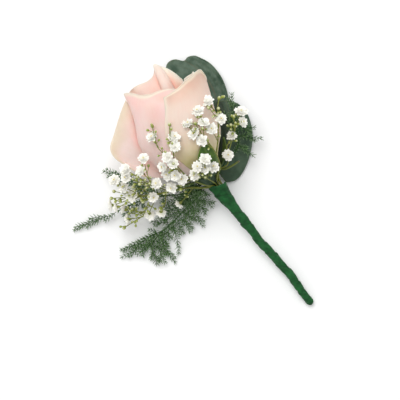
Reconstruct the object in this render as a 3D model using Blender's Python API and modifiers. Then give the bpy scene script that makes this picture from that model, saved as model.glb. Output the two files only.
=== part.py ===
"""Rose boutonniere lying on its side: one spray rose, eucalyptus, asparagus fern and baby's breath.

Metres, +Z up. +Y runs along the taped stem from its cut end to the bloom, +X is to the right of it.
The origin is on the table under the middle of the piece. Sizes below are in millimetres.
"""

import math

import bmesh
import bpy
from mathutils import Matrix, Vector

MM = 0.001

# ---- driving dimensions, millimetres and degrees ----------------------------------------------------

STEM_TIP = Vector((15.7, -63.4, 1.72))      # middle of the rounded cut end
STEM_MOUTH = Vector((16.2, 5.0, 9.4))       # middle of the open end of the tape
STEM_LENGTH = 69.0
# (share of the length from mouth to tip, sideways bend)
STEM_BENDS = [(0.0, 0.0), (0.09, -0.7), (0.2, -1.0), (0.45, -0.7), (0.6, 0.15), (0.76, 0.7), (0.9, 0.1),
              (1.0, 0.0)]
TAPE_WALL = 0.3
# (share of the length from mouth to tip, outer radius)
TAPE_PROFILE = [(0.0, 3.75), (0.04, 3.6), (0.1, 3.0), (0.17, 2.25), (0.22, 2.1), (0.3, 2.3), (0.36, 2.05),
                (0.46, 1.95), (0.54, 1.85), (0.62, 1.92), (0.7, 1.8), (0.78, 1.85), (0.88, 1.72), (0.95, 1.7)]
TAPE_SIDES = 12

BLOOM_BASE = Vector((15.2, 12.2, 13.2))     # middle of the seat that the petals grow from
BLOOM_LEAN = 15.0                           # the bloom leans to the right of the stem
BLOOM_TILT = 18.0                           # and its axis rises from the table
HIP_RADIUS = 3.4                            # the swelling under the petals
SEAT_RADIUS = 5.9                           # the rim of the hip, where the sepals grow
PETAL_THICKNESS = 0.34
SEPAL_THICKNESS = 0.4
LEAF_THICKNESS = 0.4
WIDE_GRID = (8, 7)                          # faces across and along a wide petal
NARROW_GRID = (6, 7)
LEAF_GRID = (6, 13)

STUB_RADIUS = 1.25                          # the rose's own short stem inside the tape
STRAND_RADIUS = 0.36                        # sprigs where they are bound
BINDING_RADIUS = 2.45                       # ring in which the sprigs are bound round the rose stem
BINDING_SLOTS = 12
FLARE_RADIUS = 4.7                          # and the ring they spread to round the rose hip
LOWER_SLOTS = (5, 6, 7)                     # slots that already pass under the hip
CORE_RADIUS = 0.78                          # the wires and the longest sprigs lower down the stem
BOUND_DEPTH = 4.5                           # how far the short sprigs reach into the tape

GYP_STEM = 0.34
FLORET = (2.6, 1.9)                         # radius and half height of a double floret
BUD = 0.95


def smoothstep(value):
    """0 to 1 with level ends."""
    value = min(max(value, 0.0), 1.0)
    return value * value * (3.0 - 2.0 * value)


def blended(table, share):
    """The value at share in a table of (share, value), level at each of its rows."""
    for (low, first), (high, second) in zip(table, table[1:]):
        if share <= high:
            return first + (second - first) * smoothstep((share - low) / (high - low))
    return table[-1][1]


# ---- frames ----------------------------------------------------------------------------------------

def bloom_axes():
    """Right, up (towards the viewer above) and along directions of the bloom."""
    lean = math.radians(BLOOM_LEAN)
    tilt = math.radians(BLOOM_TILT)
    right = Vector((math.cos(lean), -math.sin(lean), 0.0))
    along = Vector((math.sin(lean) * math.cos(tilt), math.cos(lean) * math.cos(tilt), math.sin(tilt)))
    return right, right.cross(along), along


def bloom_point(azimuth, radius, height):
    """A point round the bloom: azimuth 0 is the side that faces up, 90 the right side."""
    right, up, along = bloom_axes()
    turn = math.radians(azimuth)
    return BLOOM_BASE + radius * (math.sin(turn) * right + math.cos(turn) * up) + height * along


def stem_point(share, across=0.0, above=0.0):
    """A point in the stem: share 0 at the tape's mouth and 1 at its tip, with offsets in its section."""
    middle = STEM_MOUTH.lerp(STEM_TIP, share)
    middle.x += blended(STEM_BENDS, share)
    return middle + Vector((across, 0.0, above))


def flare_point(slot, radius=FLARE_RADIUS):
    """Where a sprig passes the rose hip, on a ring square to the hip."""
    turn = 2.0 * math.pi * slot / BINDING_SLOTS
    run = (BLOOM_BASE - STEM_MOUTH).normalized()
    across = run.cross(Vector((0.0, 0.0, 1.0))).normalized()
    above = across.cross(run)
    return STEM_MOUTH.lerp(BLOOM_BASE, 0.56) + radius * (math.sin(turn) * across + math.cos(turn) * above)


def slot_point(slot, share, radius=BINDING_RADIUS):
    """The middle of a binding slot: slot 0 is on top of the stem, slot 3 on its right."""
    turn = 2.0 * math.pi * slot / BINDING_SLOTS
    return stem_point(share, radius * math.sin(turn), radius * math.cos(turn))


# ---- making objects --------------------------------------------------------------------------------

def fresh_scene():
    """Empties the file and returns the collection that holds the parts."""
    for thing in list(bpy.data.objects):
        bpy.data.objects.remove(thing, do_unlink=True)
    parts = bpy.data.collections.new("boutonniere")
    bpy.context.scene.collection.children.link(parts)
    return parts


def finish_material(name, colour, roughness, metallic=0.0):
    """A plain Principled material."""
    material = bpy.data.materials.new(name)
    material.use_nodes = True
    shader = material.node_tree.nodes["Principled BSDF"]
    shader.inputs["Base Color"].default_value = (*colour, 1.0)
    shader.inputs["Roughness"].default_value = roughness
    shader.inputs["Metallic"].default_value = metallic
    return material


def add_part(parts, name, mesh, material):
    """Puts a mesh in the parts collection as one named, smooth object."""
    mesh.name = name
    mesh.materials.clear()
    mesh.materials.append(material)
    mesh.shade_smooth()
    part = bpy.data.objects.new(name, mesh)
    parts.objects.link(part)
    return part


def thicken(part, thickness):
    """Turns an open sheet into a closed shell, half of its thickness on each side."""
    shell = part.modifiers.new("thickness", "SOLIDIFY")
    shell.thickness = thickness * MM
    shell.offset = 0.0
    shell.use_even_offset = True
    return part


def sheet_mesh(place, grid):
    """A grid whose corners place(share along, side) puts, side running from -1 to 1."""
    build = bmesh.new()
    bmesh.ops.create_grid(build, x_segments=grid[0], y_segments=grid[1], size=1.0)
    for corner in build.verts:
        corner.co = place(0.5 * (corner.co.y + 1.0), corner.co.x) * MM
    mesh = bpy.data.meshes.new("sheet")
    build.to_mesh(mesh)
    build.free()
    return mesh


def tubes_mesh(runs, resolution=1):
    """Closed tubes along runs of (point, radius), each a separate body in one mesh."""
    curve = bpy.data.curves.new("tubes", "CURVE")
    curve.dimensions = "3D"
    curve.bevel_depth = MM
    curve.bevel_resolution = resolution
    curve.use_fill_caps = True
    for run in runs:
        spline = curve.splines.new("POLY")
        spline.points.add(len(run) - 1)
        for knot, (point, radius) in zip(spline.points, run):
            knot.co = (*(point * MM), 1.0)
            knot.radius = radius
    guide = bpy.data.objects.new("tubes", curve)
    bpy.context.scene.collection.objects.link(guide)
    bpy.context.view_layer.update()
    seen = guide.evaluated_get(bpy.context.evaluated_depsgraph_get())
    mesh = bpy.data.meshes.new_from_object(seen)
    bpy.data.objects.remove(guide, do_unlink=True)
    build = bmesh.new()
    build.from_mesh(mesh)
    bmesh.ops.remove_doubles(build, verts=build.verts, dist=1e-6)
    build.to_mesh(mesh)
    build.free()
    return mesh


def smooth_run(points, radii, pieces=3):
    """A smooth curve through the points, as evenly spaced knots with blended radii."""
    run = []
    for i in range(len(points) - 1):
        before = points[max(i - 1, 0)]
        start, end = points[i], points[i + 1]
        after = points[min(i + 2, len(points) - 1)]
        for k in range(pieces):
            t = k / pieces
            run.append((catmull(before, start, end, after, t), radii[i] + (radii[i + 1] - radii[i]) * t))
    run.append((points[-1], radii[-1]))
    return run


def catmull(before, start, end, after, t):
    """A point on the curve from start to end that also looks to its neighbours."""
    bend = (2.0 * before - 5.0 * start + 4.0 * end - after) * t * t
    twist = (3.0 * start - before - 3.0 * end + after) * t ** 3
    return 0.5 * (2.0 * start + (end - before) * t + bend + twist)


# ---- the bloom -------------------------------------------------------------------------------------

WIDEST = 0.55                               # how far up a petal its belly is
ROLL_START = 0.86                           # where its rolled rim begins


def wrapped_petal(azimuth, half, foot, belly, rim, height, point=1.5, drop=4.0, turn=0.0, left=0.0,
                  curl=1.0, top=0.75, sway=0.0, slump=0.0):
    """A petal that wraps the bud. Angles are about the bloom's axis, radii and heights in millimetres.

    half is half of its widest spread, and foot, belly and rim its distance from the axis on the way up
    to height. point lifts the middle of its rim and drop lowers the rim's ends. turn swings it as it
    rises, left pushes its left edge out, curl rolls its rim outwards and top is the rim's share of the
    widest spread. sway moves the tip to the right, and slump lowers the right edge and raises the left.
    """
    def place(share, side):
        rim_height = height - drop * abs(side) ** 2.5 + point * math.exp(-(side / 0.28) ** 2)
        if share < WIDEST:
            rising = math.sin(0.5 * math.pi * share / WIDEST)
            spread = 0.42 + 0.58 * rising
            radius = foot + (belly - foot) * rising ** 0.9
        else:
            late = (share - WIDEST) / (1.0 - WIDEST)
            spread = 1.0 - (1.0 - top) * late * late
            radius = belly + (rim - belly) * smoothstep(late)
        roll = max(share - ROLL_START, 0.0) / (1.0 - ROLL_START)
        radius += left * max(-side, 0.0) ** 3 * smoothstep(share / 0.7) + curl * roll * roll
        rise = rim_height * (1.0 - slump * side) * share - 0.45 * curl * roll * roll
        on_petal = bloom_point(azimuth + turn * share + side * half * spread, radius, rise)
        return on_petal + bloom_axes()[0] * sway * share

    return place


def sepal(azimuth, length, width, lift, fall):
    """A pointed sepal on the rim of the hip.

    It leaves the bloom's axis at the angle lift and ends at the angle fall, hollow towards the bloom.
    """
    right, up, along = bloom_axes()
    turn = math.radians(azimuth)
    outward = math.sin(turn) * right + math.cos(turn) * up
    sideways = math.cos(turn) * right - math.sin(turn) * up
    steps = 24

    def place(share, side):
        point = BLOOM_BASE + outward * SEPAL_FOOT - along * SEPAL_DROP
        for i in range(steps):
            angle = math.radians(lift + (fall - lift) * share * (i + 0.5) / steps)
            point = point + (outward * math.sin(angle) + along * math.cos(angle)) * length * share / steps
        angle = math.radians(lift + (fall - lift) * share)
        face = along * math.sin(angle) - outward * math.cos(angle)
        widen = 0.5 + 0.5 * math.sin(0.5 * math.pi * min(share / 0.6, 1.0))
        end = max(share - 0.6, 0.0) / 0.4
        widen *= (1.0 - 0.985 * end ** 1.6) ** 0.5
        offset = side * 0.5 * width * widen
        bend = offset / SEPAL_HOLLOW
        return point + sideways * SEPAL_HOLLOW * math.sin(bend) + face * SEPAL_HOLLOW * (1.0 - math.cos(bend))

    return place


# Petals from the middle of the bud outwards, each a function that places its surface.
PETALS = [
    wrapped_petal(200, 118, 0.8, 2.2, 1.4, 45.0, curl=0.0, top=0.9, drop=5.0, sway=3.6),
    wrapped_petal(-30, 112, 1.4, 3.3, 2.4, 48.0, curl=0.0, top=0.8, drop=6.0, sway=3.6),
    wrapped_petal(16, 92, 2.0, 4.8, 3.7, 52.5, point=0.3, curl=0.1, drop=9.0, top=0.8, sway=3.8),
    wrapped_petal(-66, 84, 2.6, 6.4, 5.0, 53.0, point=3.0, curl=0.1, drop=3.0, top=0.8, sway=3.8),
    wrapped_petal(170, 78, 3.2, 8.4, 9.0, 42.0, curl=0.6, sway=1.5),
    wrapped_petal(75, 62, 3.2, 10.2, 11.0, 39.0, curl=0.6),
    wrapped_petal(-75, 56, 3.2, 10.6, 11.2, 40.0, curl=0.6),
    wrapped_petal(-142, 66, 3.85, 13.4, 15.4, 48.5, point=0.5, drop=-1.5, curl=1.6, turn=-2, top=1.0),
    wrapped_petal(104, 42, 3.85, 13.4, 13.4, 41.5, drop=2.0, curl=0.6, top=0.9),
    wrapped_petal(-36, 62, 3.85, 16.2, 13.6, 48.0, point=-1.2, drop=1.0, curl=2.0, top=0.95, left=4.4),
    wrapped_petal(52, 84, 4.5, 17.4, 16.6, 46.0, point=-0.8, drop=1.5, curl=1.8, top=0.76, turn=2),
    wrapped_petal(150, 34, 3.6, 13.8, 14.6, 35.0, curl=0.8, drop=4.0),
    wrapped_petal(-105, 45, 5.2, 22.5, 33.0, 30.0, point=0.0, drop=2.5, curl=1.4, top=0.95, left=-6.0,
                  slump=0.42),
    wrapped_petal(-164, 38, 4.5, 16.2, 17.6, 36.0, curl=1.6),
    wrapped_petal(142, 38, 4.5, 18.4, 19.2, 37.0, curl=1.8),
    wrapped_petal(180, 37, 5.15, 19.6, 21.0, 33.0, curl=1.4),
]
NARROW_PETALS = {6, 7, 9, 10, 12, 14, 15, 16}
SEPAL_FOOT = 6.3                            # distance of a sepal's foot from the bloom's axis
SEPAL_DROP = 0.5
SEPAL_HOLLOW = 12.0                         # radius of its hollow across
SEPALS = [
    sepal(18, 20.0, 6.6, 62.0, 4.0),
    sepal(-58, 14.0, 5.0, 74.0, 78.0),
    sepal(102, 15.0, 5.0, 62.0, 6.0),
    sepal(192, 9.0, 5.0, 66.0, 56.0),
    sepal(-116, 12.0, 5.0, 74.0, 62.0),
]
SEPAL_GRID = (4, 6)


def build_bloom(parts, finishes):
    """The hip with its short stem, the sepals and the petals."""
    _, _, along = bloom_axes()
    seat = BLOOM_BASE - 0.4 * along
    throat = BLOOM_BASE - 1.5 * along
    mouth = stem_point(0.0)
    hip = [
        (stem_point(0.1), STUB_RADIUS), (stem_point(0.05), STUB_RADIUS), (mouth, STUB_RADIUS),
        (mouth.lerp(throat, 0.28), 1.1 * STUB_RADIUS), (mouth.lerp(throat, 0.46), 0.55 * HIP_RADIUS),
        (mouth.lerp(throat, 0.66), 0.95 * HIP_RADIUS), (mouth.lerp(throat, 0.86), HIP_RADIUS),
        (throat, 1.15 * HIP_RADIUS), (seat, SEAT_RADIUS),
    ]
    add_part(parts, "rose_hip", tubes_mesh([hip], 3), finishes["hip"])
    for number, place in enumerate(PETALS, 1):
        grid = NARROW_GRID if number in NARROW_PETALS else WIDE_GRID
        petal = add_part(parts, f"rose_petal_{number:02d}", sheet_mesh(place, grid), finishes["petal"])
        thicken(petal, PETAL_THICKNESS)
    for number, place in enumerate(SEPALS, 1):
        leaflet = add_part(parts, f"rose_sepal_{number}", sheet_mesh(place, SEPAL_GRID), finishes["sepal"])
        thicken(leaflet, SEPAL_THICKNESS)


# ---- the taped stem ---------------------------------------------------------------------------------

MOUTH_SLANT = -0.35                         # the tape reaches higher on the left of its mouth
TIP_START = 0.965                           # where the closed tip begins to round off


def tape_radius(share):
    """Outer radius of the tape, with a rounded tip."""
    radius = blended(TAPE_PROFILE, share)
    if share > TIP_START:
        radius *= math.sqrt(max(1.0 - ((share - TIP_START) / (1.0 - TIP_START)) ** 2, 0.0))
    return radius


def build_tape(parts, finishes):
    """The wound tape: a thin tapering sleeve, open at its mouth and closed at its tip."""
    rings = 22
    build = bmesh.new()
    bmesh.ops.create_uvsphere(build, u_segments=TAPE_SIDES, v_segments=rings, radius=1.0)
    build.verts.ensure_lookup_table()
    top = max(build.verts, key=lambda corner: corner.co.z)
    bmesh.ops.delete(build, geom=[top], context="VERTS")
    for corner in build.verts:
        ring = round(rings * math.acos(max(-1.0, min(1.0, corner.co.z))) / math.pi)
        share = (ring - 1) / (rings - 1)
        share = share * (2.0 - share) if share > 0.5 else share * 1.5
        turn = math.atan2(corner.co.y, corner.co.x)
        radius = tape_radius(share)
        across = radius * math.cos(turn)
        spot = stem_point(share, across, radius * math.sin(turn))
        spot.y += MOUTH_SLANT * across * (1.0 - smoothstep(share / 0.1))
        corner.co = spot * MM
    bmesh.ops.recalc_face_normals(build, faces=build.faces)
    mesh = bpy.data.meshes.new("tape")
    build.to_mesh(mesh)
    build.free()
    sleeve = thicken(add_part(parts, "stem_tape", mesh, finishes["tape"]), TAPE_WALL)
    sleeve.modifiers["thickness"].offset = -1.0


WIRE_RADIUS = 0.25
WIRE_RING = 1.67                            # the wires lie between the rose stem and the sprigs
WIRE_CORE = 0.5


def build_wire(parts, finishes):
    """The stiffening wire, folded double beside the rose stem."""
    shares = [0.02, 0.1, 0.17, 0.23, 0.45, 0.7, 0.93]
    reach = [WIRE_RING, WIRE_RING, 1.1, WIRE_CORE, WIRE_CORE, WIRE_CORE, WIRE_CORE]
    turn = math.radians(105.0)
    leg = []
    for share, radius in zip(shares, reach):
        leg.append((share, radius * math.sin(turn), radius * math.cos(turn)))
    down = [stem_point(share, across, above) for share, across, above in leg]
    rise = [stem_point(share, -across, -above) for share, across, above in reversed(leg)]
    bend = [stem_point(0.938)]
    run = [(point, WIRE_RADIUS) for point in down + bend + rise]
    add_part(parts, "support_wire", tubes_mesh([run]), finishes["wire"])


# ---- sprigs: stems that branch -----------------------------------------------------------------------

def bound_start(slot, core=None):
    """The end of a sprig in its binding slot; core is the angle where it runs on down the stem."""
    start = [slot_point(slot, BOUND_DEPTH / STEM_LENGTH), slot_point(slot, -0.012)]
    if slot not in LOWER_SLOTS:
        start.append(flare_point(slot))
    if core is None:
        return start
    turn = 2.0 * math.pi * slot / BINDING_SLOTS
    target = math.radians(core)
    for share, radius, blend in [(0.11, 2.1, 0.3), (0.17, 1.3, 0.7), (0.23, CORE_RADIUS, 1.0),
                                 (0.5, CORE_RADIUS, 1.0), (0.9, CORE_RADIUS, 1.0)]:
        angle = turn + (target - turn) * blend
        start.insert(0, stem_point(share, radius * math.sin(angle), radius * math.cos(angle)))
    return start


def along_run(run, share):
    """The point and radius at a share of a run's knots."""
    place = min(max(share, 0.0), 1.0) * (len(run) - 1)
    low = min(int(place), len(run) - 2)
    part = place - low
    return run[low][0].lerp(run[low + 1][0], part), run[low][1] * (1.0 - part) + run[low + 1][1] * part


def grow_together(name, runs, balls, resolution=1):
    """One closed body from tubes and balls that grow into each other."""
    stems = bpy.data.objects.new(name, tubes_mesh(runs, resolution))
    bpy.context.scene.collection.objects.link(stems)
    build = bmesh.new()
    for centre, across, half_height, facing in balls:
        shape = Matrix.Translation(centre * MM) @ facing.to_track_quat("Z", "Y").to_matrix().to_4x4()
        shape = shape @ Matrix.Diagonal((across * MM, across * MM, half_height * MM, 1.0))
        bmesh.ops.create_icosphere(build, subdivisions=1, radius=1.0, matrix=shape)
    blossom = bpy.data.meshes.new(name + "_balls")
    build.to_mesh(blossom)
    build.free()
    tool = bpy.data.objects.new(name + "_balls", blossom)
    bpy.context.scene.collection.objects.link(tool)
    join = stems.modifiers.new("join", "BOOLEAN")
    join.operation = "UNION"
    join.solver = "EXACT"
    join.use_self = True
    join.object = tool
    bpy.context.view_layer.update()
    mesh = bpy.data.meshes.new_from_object(stems.evaluated_get(bpy.context.evaluated_depsgraph_get()))
    for used in (stems, tool):
        bpy.data.objects.remove(used, do_unlink=True)
    return mesh


# ---- baby's breath ----------------------------------------------------------------------------------

F, B = "floret", "bud"
# Each spray: its slot, its main stem beyond the tape, then twigs as
# (parent run, share along it, end point, what it bears). Run 0 is the main stem.
SPRAYS = {
    "gypsophila_spray_1": (2, [
        (23.6, 15.0, 27.0), (29.6, 21.0, 33.4), (34.4, 27.0, 35.0), (38.0, 31.6, 33.6)], [
        (0, 1.0, (40.6, 33.8, 33.4), B), (0, 0.95, (37.4, 30.4, 36.0), B), (0, 0.9, (35.8, 36.2, 37.6), F),
        (0, 0.75, (35.7, 26.3, 37.4), F), (0, 0.6, (29.6, 25.6, 39.4), F), (0, 0.85, (34.2, 33.2, 39.5), B)]),
    "gypsophila_spray_2": (3, [(25.8, 9.4, 17.4), (30.2, 15.6, 21.5)], [
        (0, 1.0, (35.2, 18.0, 22.5), F), (0, 0.6, (28.4, 12.4, 23.0), F), (0, 0.85, (41.0, 21.0, 21.5), None),
        (3, 1.0, (45.2, 24.0, 22.0), F), (3, 0.9, (43.0, 19.4, 21.5), F), (3, 0.7, (40.8, 23.8, 23.5), B),
        (3, 0.5, (37.5, 21.6, 24.0), B)]),
    "gypsophila_spray_3": (0, [(14.4, 10.6, 27.0)], [
        (0, 1.0, (16.8, 14.4, 33.4), F), (0, 0.9, (20.2, 12.6, 31.0), F), (0, 1.0, (19.4, 17.2, 37.2), F),
        (0, 1.0, (14.6, 16.8, 36.0), F), (0, 0.8, (11.0, 14.8, 30.4), F)]),
    "gypsophila_spray_4": (1, [(22.8, 11.2, 28.4), (24.6, 17.4, 35.0), (24.6, 24.6, 38.6)], [
        (0, 0.8, (22.8, 24.4, 40.6), F), (0, 1.0, (22.0, 29.0, 41.4), F), (0, 1.0, (28.8, 30.0, 41.4), F),
        (3, 0.9, (29.8, 35.8, 41.4), F), (0, 1.0, (25.4, 31.6, 41.4), B), (2, 0.9, (23.2, 34.2, 41.6), F)]),
    "gypsophila_spray_5": (11, [
        (9.4, 13.6, 25.0), (8.0, 19.0, 31.6), (8.4, 24.6, 36.4), (12.4, 30.6, 40.4)], [
        (0, 1.0, (15.2, 33.0, 41.4), F), (0, 0.9, (12.6, 29.4, 42.0), F), (0, 0.7, (7.2, 24.4, 39.4), F),
        (0, 0.75, (6.8, 28.2, 40.0), F), (0, 0.6, (2.4, 26.4, 36.0), F), (0, 0.5, (4.4, 20.0, 33.4), F),
        (0, 0.45, (5.8, 17.0, 31.4), F), (0, 0.65, (6.4, 34.0, 39.4), None), (8, 0.95, (7.4, 39.4, 39.6), F),
        (8, 1.0, (10.4, 42.4, 39.4), B), (0, 0.85, (16.6, 38.2, 42.0), B), (0, 0.35, (-0.4, 16.8, 27.6), F),
        (0, 0.55, (1.8, 22.6, 32.0), F)]),
    "gypsophila_spray_6": (10, [
        (5.4, 12.4, 16.5), (-1.5, 16.0, 18.5), (-7.4, 19.2, 19.5), (-12.4, 22.4, 20.0)], [
        (0, 0.85, (-8.8, 18.4, 24.0), F), (0, 1.0, (-16.2, 25.4, 23.0), F), (0, 0.56, (-6.4, 23.6, 31.4), None),
        (3, 1.0, (-10.6, 35.8, 34.0), F), (3, 0.9, (-12.8, 33.0, 33.0), F), (3, 0.8, (-5.8, 31.2, 35.0), F),
        (3, 1.0, (-1.2, 34.4, 37.0), F), (0, 1.0, (-16.4, 30.6, 28.0), F), (8, 0.8, (-17.2, 35.4, 30.0), F),
        (0, 0.5, (-4.0, 22.6, 31.0), F), (0, 0.85, (-18.0, 15.0, 14.0), None), (11, 1.0, (-23.0, 23.6, 13.0), F),
        (11, 1.0, (-24.6, 18.8, 10.4), F), (11, 0.95, (-27.8, 16.5, 7.5), B), (11, 0.5, (-11.2, 11.2, 10.5), F),
        (11, 0.8, (-15.6, 13.6, 10.5), F), (0, 0.3, (-2.7, 9.2, 12.0), F), (0, 1.0, (-23.5, 30.0, 20.0), B),
        (0, 1.0, (-26.4, 28.2, 18.0), F)]),
}


def build_gypsophila(parts, finishes):
    """Each spray of baby's breath, grown in one piece: stems, calyces, buds and double florets."""
    for name, (slot, main, twigs) in SPRAYS.items():
        core = 0.0 if slot == 0 else None
        points = bound_start(slot, core) + [Vector(point) for point in main]
        bound = len(points) - len(main)
        radii = [STRAND_RADIUS] * bound + [GYP_STEM] * len(main)
        whole = smooth_run(points, radii, 2)
        free = whole[(bound - 1) * 2:]
        runs = [whole]
        reach = [free]
        balls = []
        for parent, share, end, load in twigs:
            root, _ = along_run(reach[parent], share)
            end = Vector(end)
            middle = root.lerp(end, 0.5) + Vector((0.0, 0.0, 0.06 * (end - root).length))
            twig = [(root, GYP_STEM * 0.95), (middle, GYP_STEM * 0.9), (end, GYP_STEM * 0.8)]
            runs.append(twig)
            reach.append(twig)
            facing = (end - middle).normalized() + Vector((0.0, 0.0, 1.2))
            if load == F:
                balls.append((end, FLORET[0], FLORET[1], facing))
            elif load == B:
                balls.append((end, BUD, BUD, facing))
        add_part(parts, name, grow_together(name, runs, balls, 0), finishes["gypsophila"])


# ---- asparagus fern ---------------------------------------------------------------------------------

PLUME = 1.15
# Each frond: its slot, its main stem beyond the tape, then plumes as (parent run, share, end point).
FRONDS = {
    "fern_frond_1": (9, [
        (7.0, 6.6, 8.4), (-1.0, 5.9, 5.6), (-10.6, 4.6, 3.8), (-17.0, 4.4, 2.6), (-24.0, 2.9, 1.9)], [
        (0, 0.78, (-35.2, 9.9, 1.5)), (0, 0.95, (-37.0, 7.0, 1.5)), (0, 0.98, (-27.0, -5.2, 1.4)),
        (0, 0.85, (-20.0, -9.7, 1.4)), (0, 0.6, (-16.2, -7.6, 1.5)), (0, 0.66, (-16.2, -0.1, 2.0)),
        (0, 0.42, (-6.2, -3.5, 1.8)), (0, 0.3, (0.0, -5.1, 2.0)), (0, 0.2, (3.9, -1.4, 3.0)),
        (0, 0.12, (8.6, -1.0, 3.2)), (0, 0.62, (-16.4, 11.1, 3.0)), (0, 0.44, (-8.6, 14.0, 6.0))]),
    "fern_frond_2": (8, [(3.4, 11.0, 6.6), (-5.0, 16.4, 5.0), (-15.0, 21.4, 3.8), (-25.3, 24.2, 2.8)], [
        (0, 1.0, (-46.0, 29.8, 1.4)), (0, 0.6, (-13.4, 28.0, 7.0)), (0, 0.45, (-19.0, 42.0, 4.4)),
        (0, 0.7, (-20.0, 20.0, 5.0)), (0, 0.4, (-9.0, 22.0, 9.0))]),
    "fern_frond_3": (5, [(25.4, 10.6, 9.6), (34.0, 12.4, 11.0), (39.4, 20.0, 11.6)], [
        (0, 1.0, (47.2, 32.2, 11.0)), (0, 0.85, (44.4, 8.8, 7.4)), (0, 0.95, (44.6, 14.0, 9.6)),
        (0, 0.9, (38.8, 28.0, 12.5)), (0, 0.7, (37.2, 5.2, 7.0))]),
}


def build_fern(parts, finishes):
    """Each frond: a thin stem and plumes of needles, whose outline the solid follows."""
    for name, (slot, main, plumes) in FRONDS.items():
        core = 180.0 if slot == 5 else None
        points = bound_start(slot, core) + [Vector(point) for point in main]
        bound = len(points) - len(main)
        radii = [STRAND_RADIUS] * bound + [0.45] * len(main)
        whole = smooth_run(points, radii, 2)
        reach = [whole[(bound - 1) * 2:]]
        runs = [whole]
        for parent, share, end in plumes:
            root, _ = along_run(reach[parent], share)
            end = Vector(end)
            middle = root.lerp(end, 0.5) + Vector((0.0, 0.0, 0.04 * (end - root).length))
            points = [root, root.lerp(middle, 0.5), middle, middle.lerp(end, 0.6), end]
            plume = list(zip(points, [0.4, 0.9 * PLUME, PLUME, 0.75 * PLUME, 0.25]))
            runs.append(plume)
            reach.append(plume)
        add_part(parts, name, grow_together(name, runs, []), finishes["fern"])


# ---- eucalyptus -------------------------------------------------------------------------------------

STALK_HALF = 0.45


def leaf_place(midrib, stalk, left, right):
    """A round leaf along its midrib; stalk is the share of its length before the blade begins.

    left and right describe its halves as (widest half width, slope up from the midrib, fullest):
    fullest above 1 moves the widest part of that half towards the tip.
    """
    knots = smooth_run([Vector(point) for point in midrib], [1.0] * len(midrib), 6)

    def place(share, side):
        spot, _ = along_run(knots, share)
        ahead, _ = along_run(knots, share + 0.02)
        behind, _ = along_run(knots, share - 0.02)
        run = (ahead - behind).normalized()
        across = run.cross(Vector((0.0, 0.0, 1.0))).normalized()
        above = across.cross(run)
        width, slope, fullest = right if side > 0.0 else left
        blade = min(max(share - stalk, 0.0) / (1.0 - stalk), 0.995)
        round_off = math.sin(math.pi * blade ** fullest) ** 0.7 if blade > 0.0 else 0.0
        reach = side * (STALK_HALF + width * round_off)
        tilt = math.radians(slope) * round_off
        return spot + across * reach * math.cos(tilt) + above * abs(reach) * math.sin(tilt)

    return place


LEAVES = {
    "eucalyptus_leaf_1": leaf_place(
        [*bound_start(7), (19.6, 14.2, 3.2), (30.4, 21.6, 2.0), (38.4, 32.2, 1.5), (42.4, 42.0, 1.5),
         (43.0, 51.6, 1.8), (39.4, 60.4, 1.8)], 0.3, (11.8, -0.5, 2.4), (6.8, 6.0, 1.1)),
    "eucalyptus_leaf_2": leaf_place(
        [*bound_start(6), (21.4, 11.0, 5.6), (27.4, 13.2, 6.2), (34.6, 19.0, 6.8), (40.6, 26.6, 6.4),
         (43.6, 31.8, 5.4)], 0.26, (5.5, -12.0, 0.9), (13.6, -23.0, 0.85)),
}


def build_eucalyptus(parts, finishes):
    """The leaves, each with its stalk, and the side twig with its cut end."""
    for name, place in LEAVES.items():
        thicken(add_part(parts, name, sheet_mesh(place, LEAF_GRID), finishes["leaf"]), LEAF_THICKNESS)
    points = [*bound_start(4), Vector((24.4, 8.2, 12.6)), Vector((30.6, 7.2, 15.0))]
    run = smooth_run(points, [STRAND_RADIUS, STRAND_RADIUS, STRAND_RADIUS, 0.42, 0.4], 3)
    add_part(parts, "side_twig", tubes_mesh([run]), finishes["twig"])


def stand_on_origin(parts):
    """Moves every part so that the origin is under the middle of the whole piece, on the table."""
    bpy.context.view_layer.update()
    depsgraph = bpy.context.evaluated_depsgraph_get()
    corners = []
    for part in parts.objects:
        corners += [corner.co.copy() for corner in part.evaluated_get(depsgraph).data.vertices]
    low = Vector([min(corner[axis] for corner in corners) for axis in range(3)])
    high = Vector([max(corner[axis] for corner in corners) for axis in range(3)])
    shift = Vector((-0.5 * (low.x + high.x), -0.5 * (low.y + high.y), -low.z))
    for part in parts.objects:
        part.data.transform(Matrix.Translation(shift))


def main():
    """Builds every part."""
    parts = fresh_scene()
    finishes = {
        "petal": finish_material("blush_petal", (0.86, 0.66, 0.60), 0.6),
        "sepal": finish_material("sepal_green", (0.16, 0.29, 0.03), 0.5),
        "hip": finish_material("hip_green", (0.07, 0.16, 0.05), 0.5),
        "tape": finish_material("floral_tape", (0.02, 0.16, 0.06), 0.5),
        "wire": finish_material("annealed_wire", (0.10, 0.14, 0.10), 0.45, 0.8),
        "leaf": finish_material("eucalyptus_leaf", (0.08, 0.15, 0.10), 0.55),
        "twig": finish_material("cut_twig", (0.15, 0.19, 0.04), 0.6),
        "fern": finish_material("fern_green", (0.05, 0.14, 0.05), 0.6),
        "gypsophila": finish_material("gypsophila_white", (0.80, 0.79, 0.70), 0.7),
    }
    build_tape(parts, finishes)
    build_wire(parts, finishes)
    build_bloom(parts, finishes)
    build_eucalyptus(parts, finishes)
    build_fern(parts, finishes)
    build_gypsophila(parts, finishes)
    stand_on_origin(parts)


main()
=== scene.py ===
"""Finished look of a rose boutonniere lying on its side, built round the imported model.

Pieces are shaped in bench millimetres: +Z up, +Y along the taped stem from its cut end to the bloom, +X
to the right of it. Placement then carries them into the frame, in metres.
"""

import logging
from dataclasses import dataclass, field
from enum import Enum, IntEnum
from math import cos, exp, pi, radians, sin
from random import Random
from typing import ClassVar

import bpy
import numpy as np
from mathutils import Matrix, Vector


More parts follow.
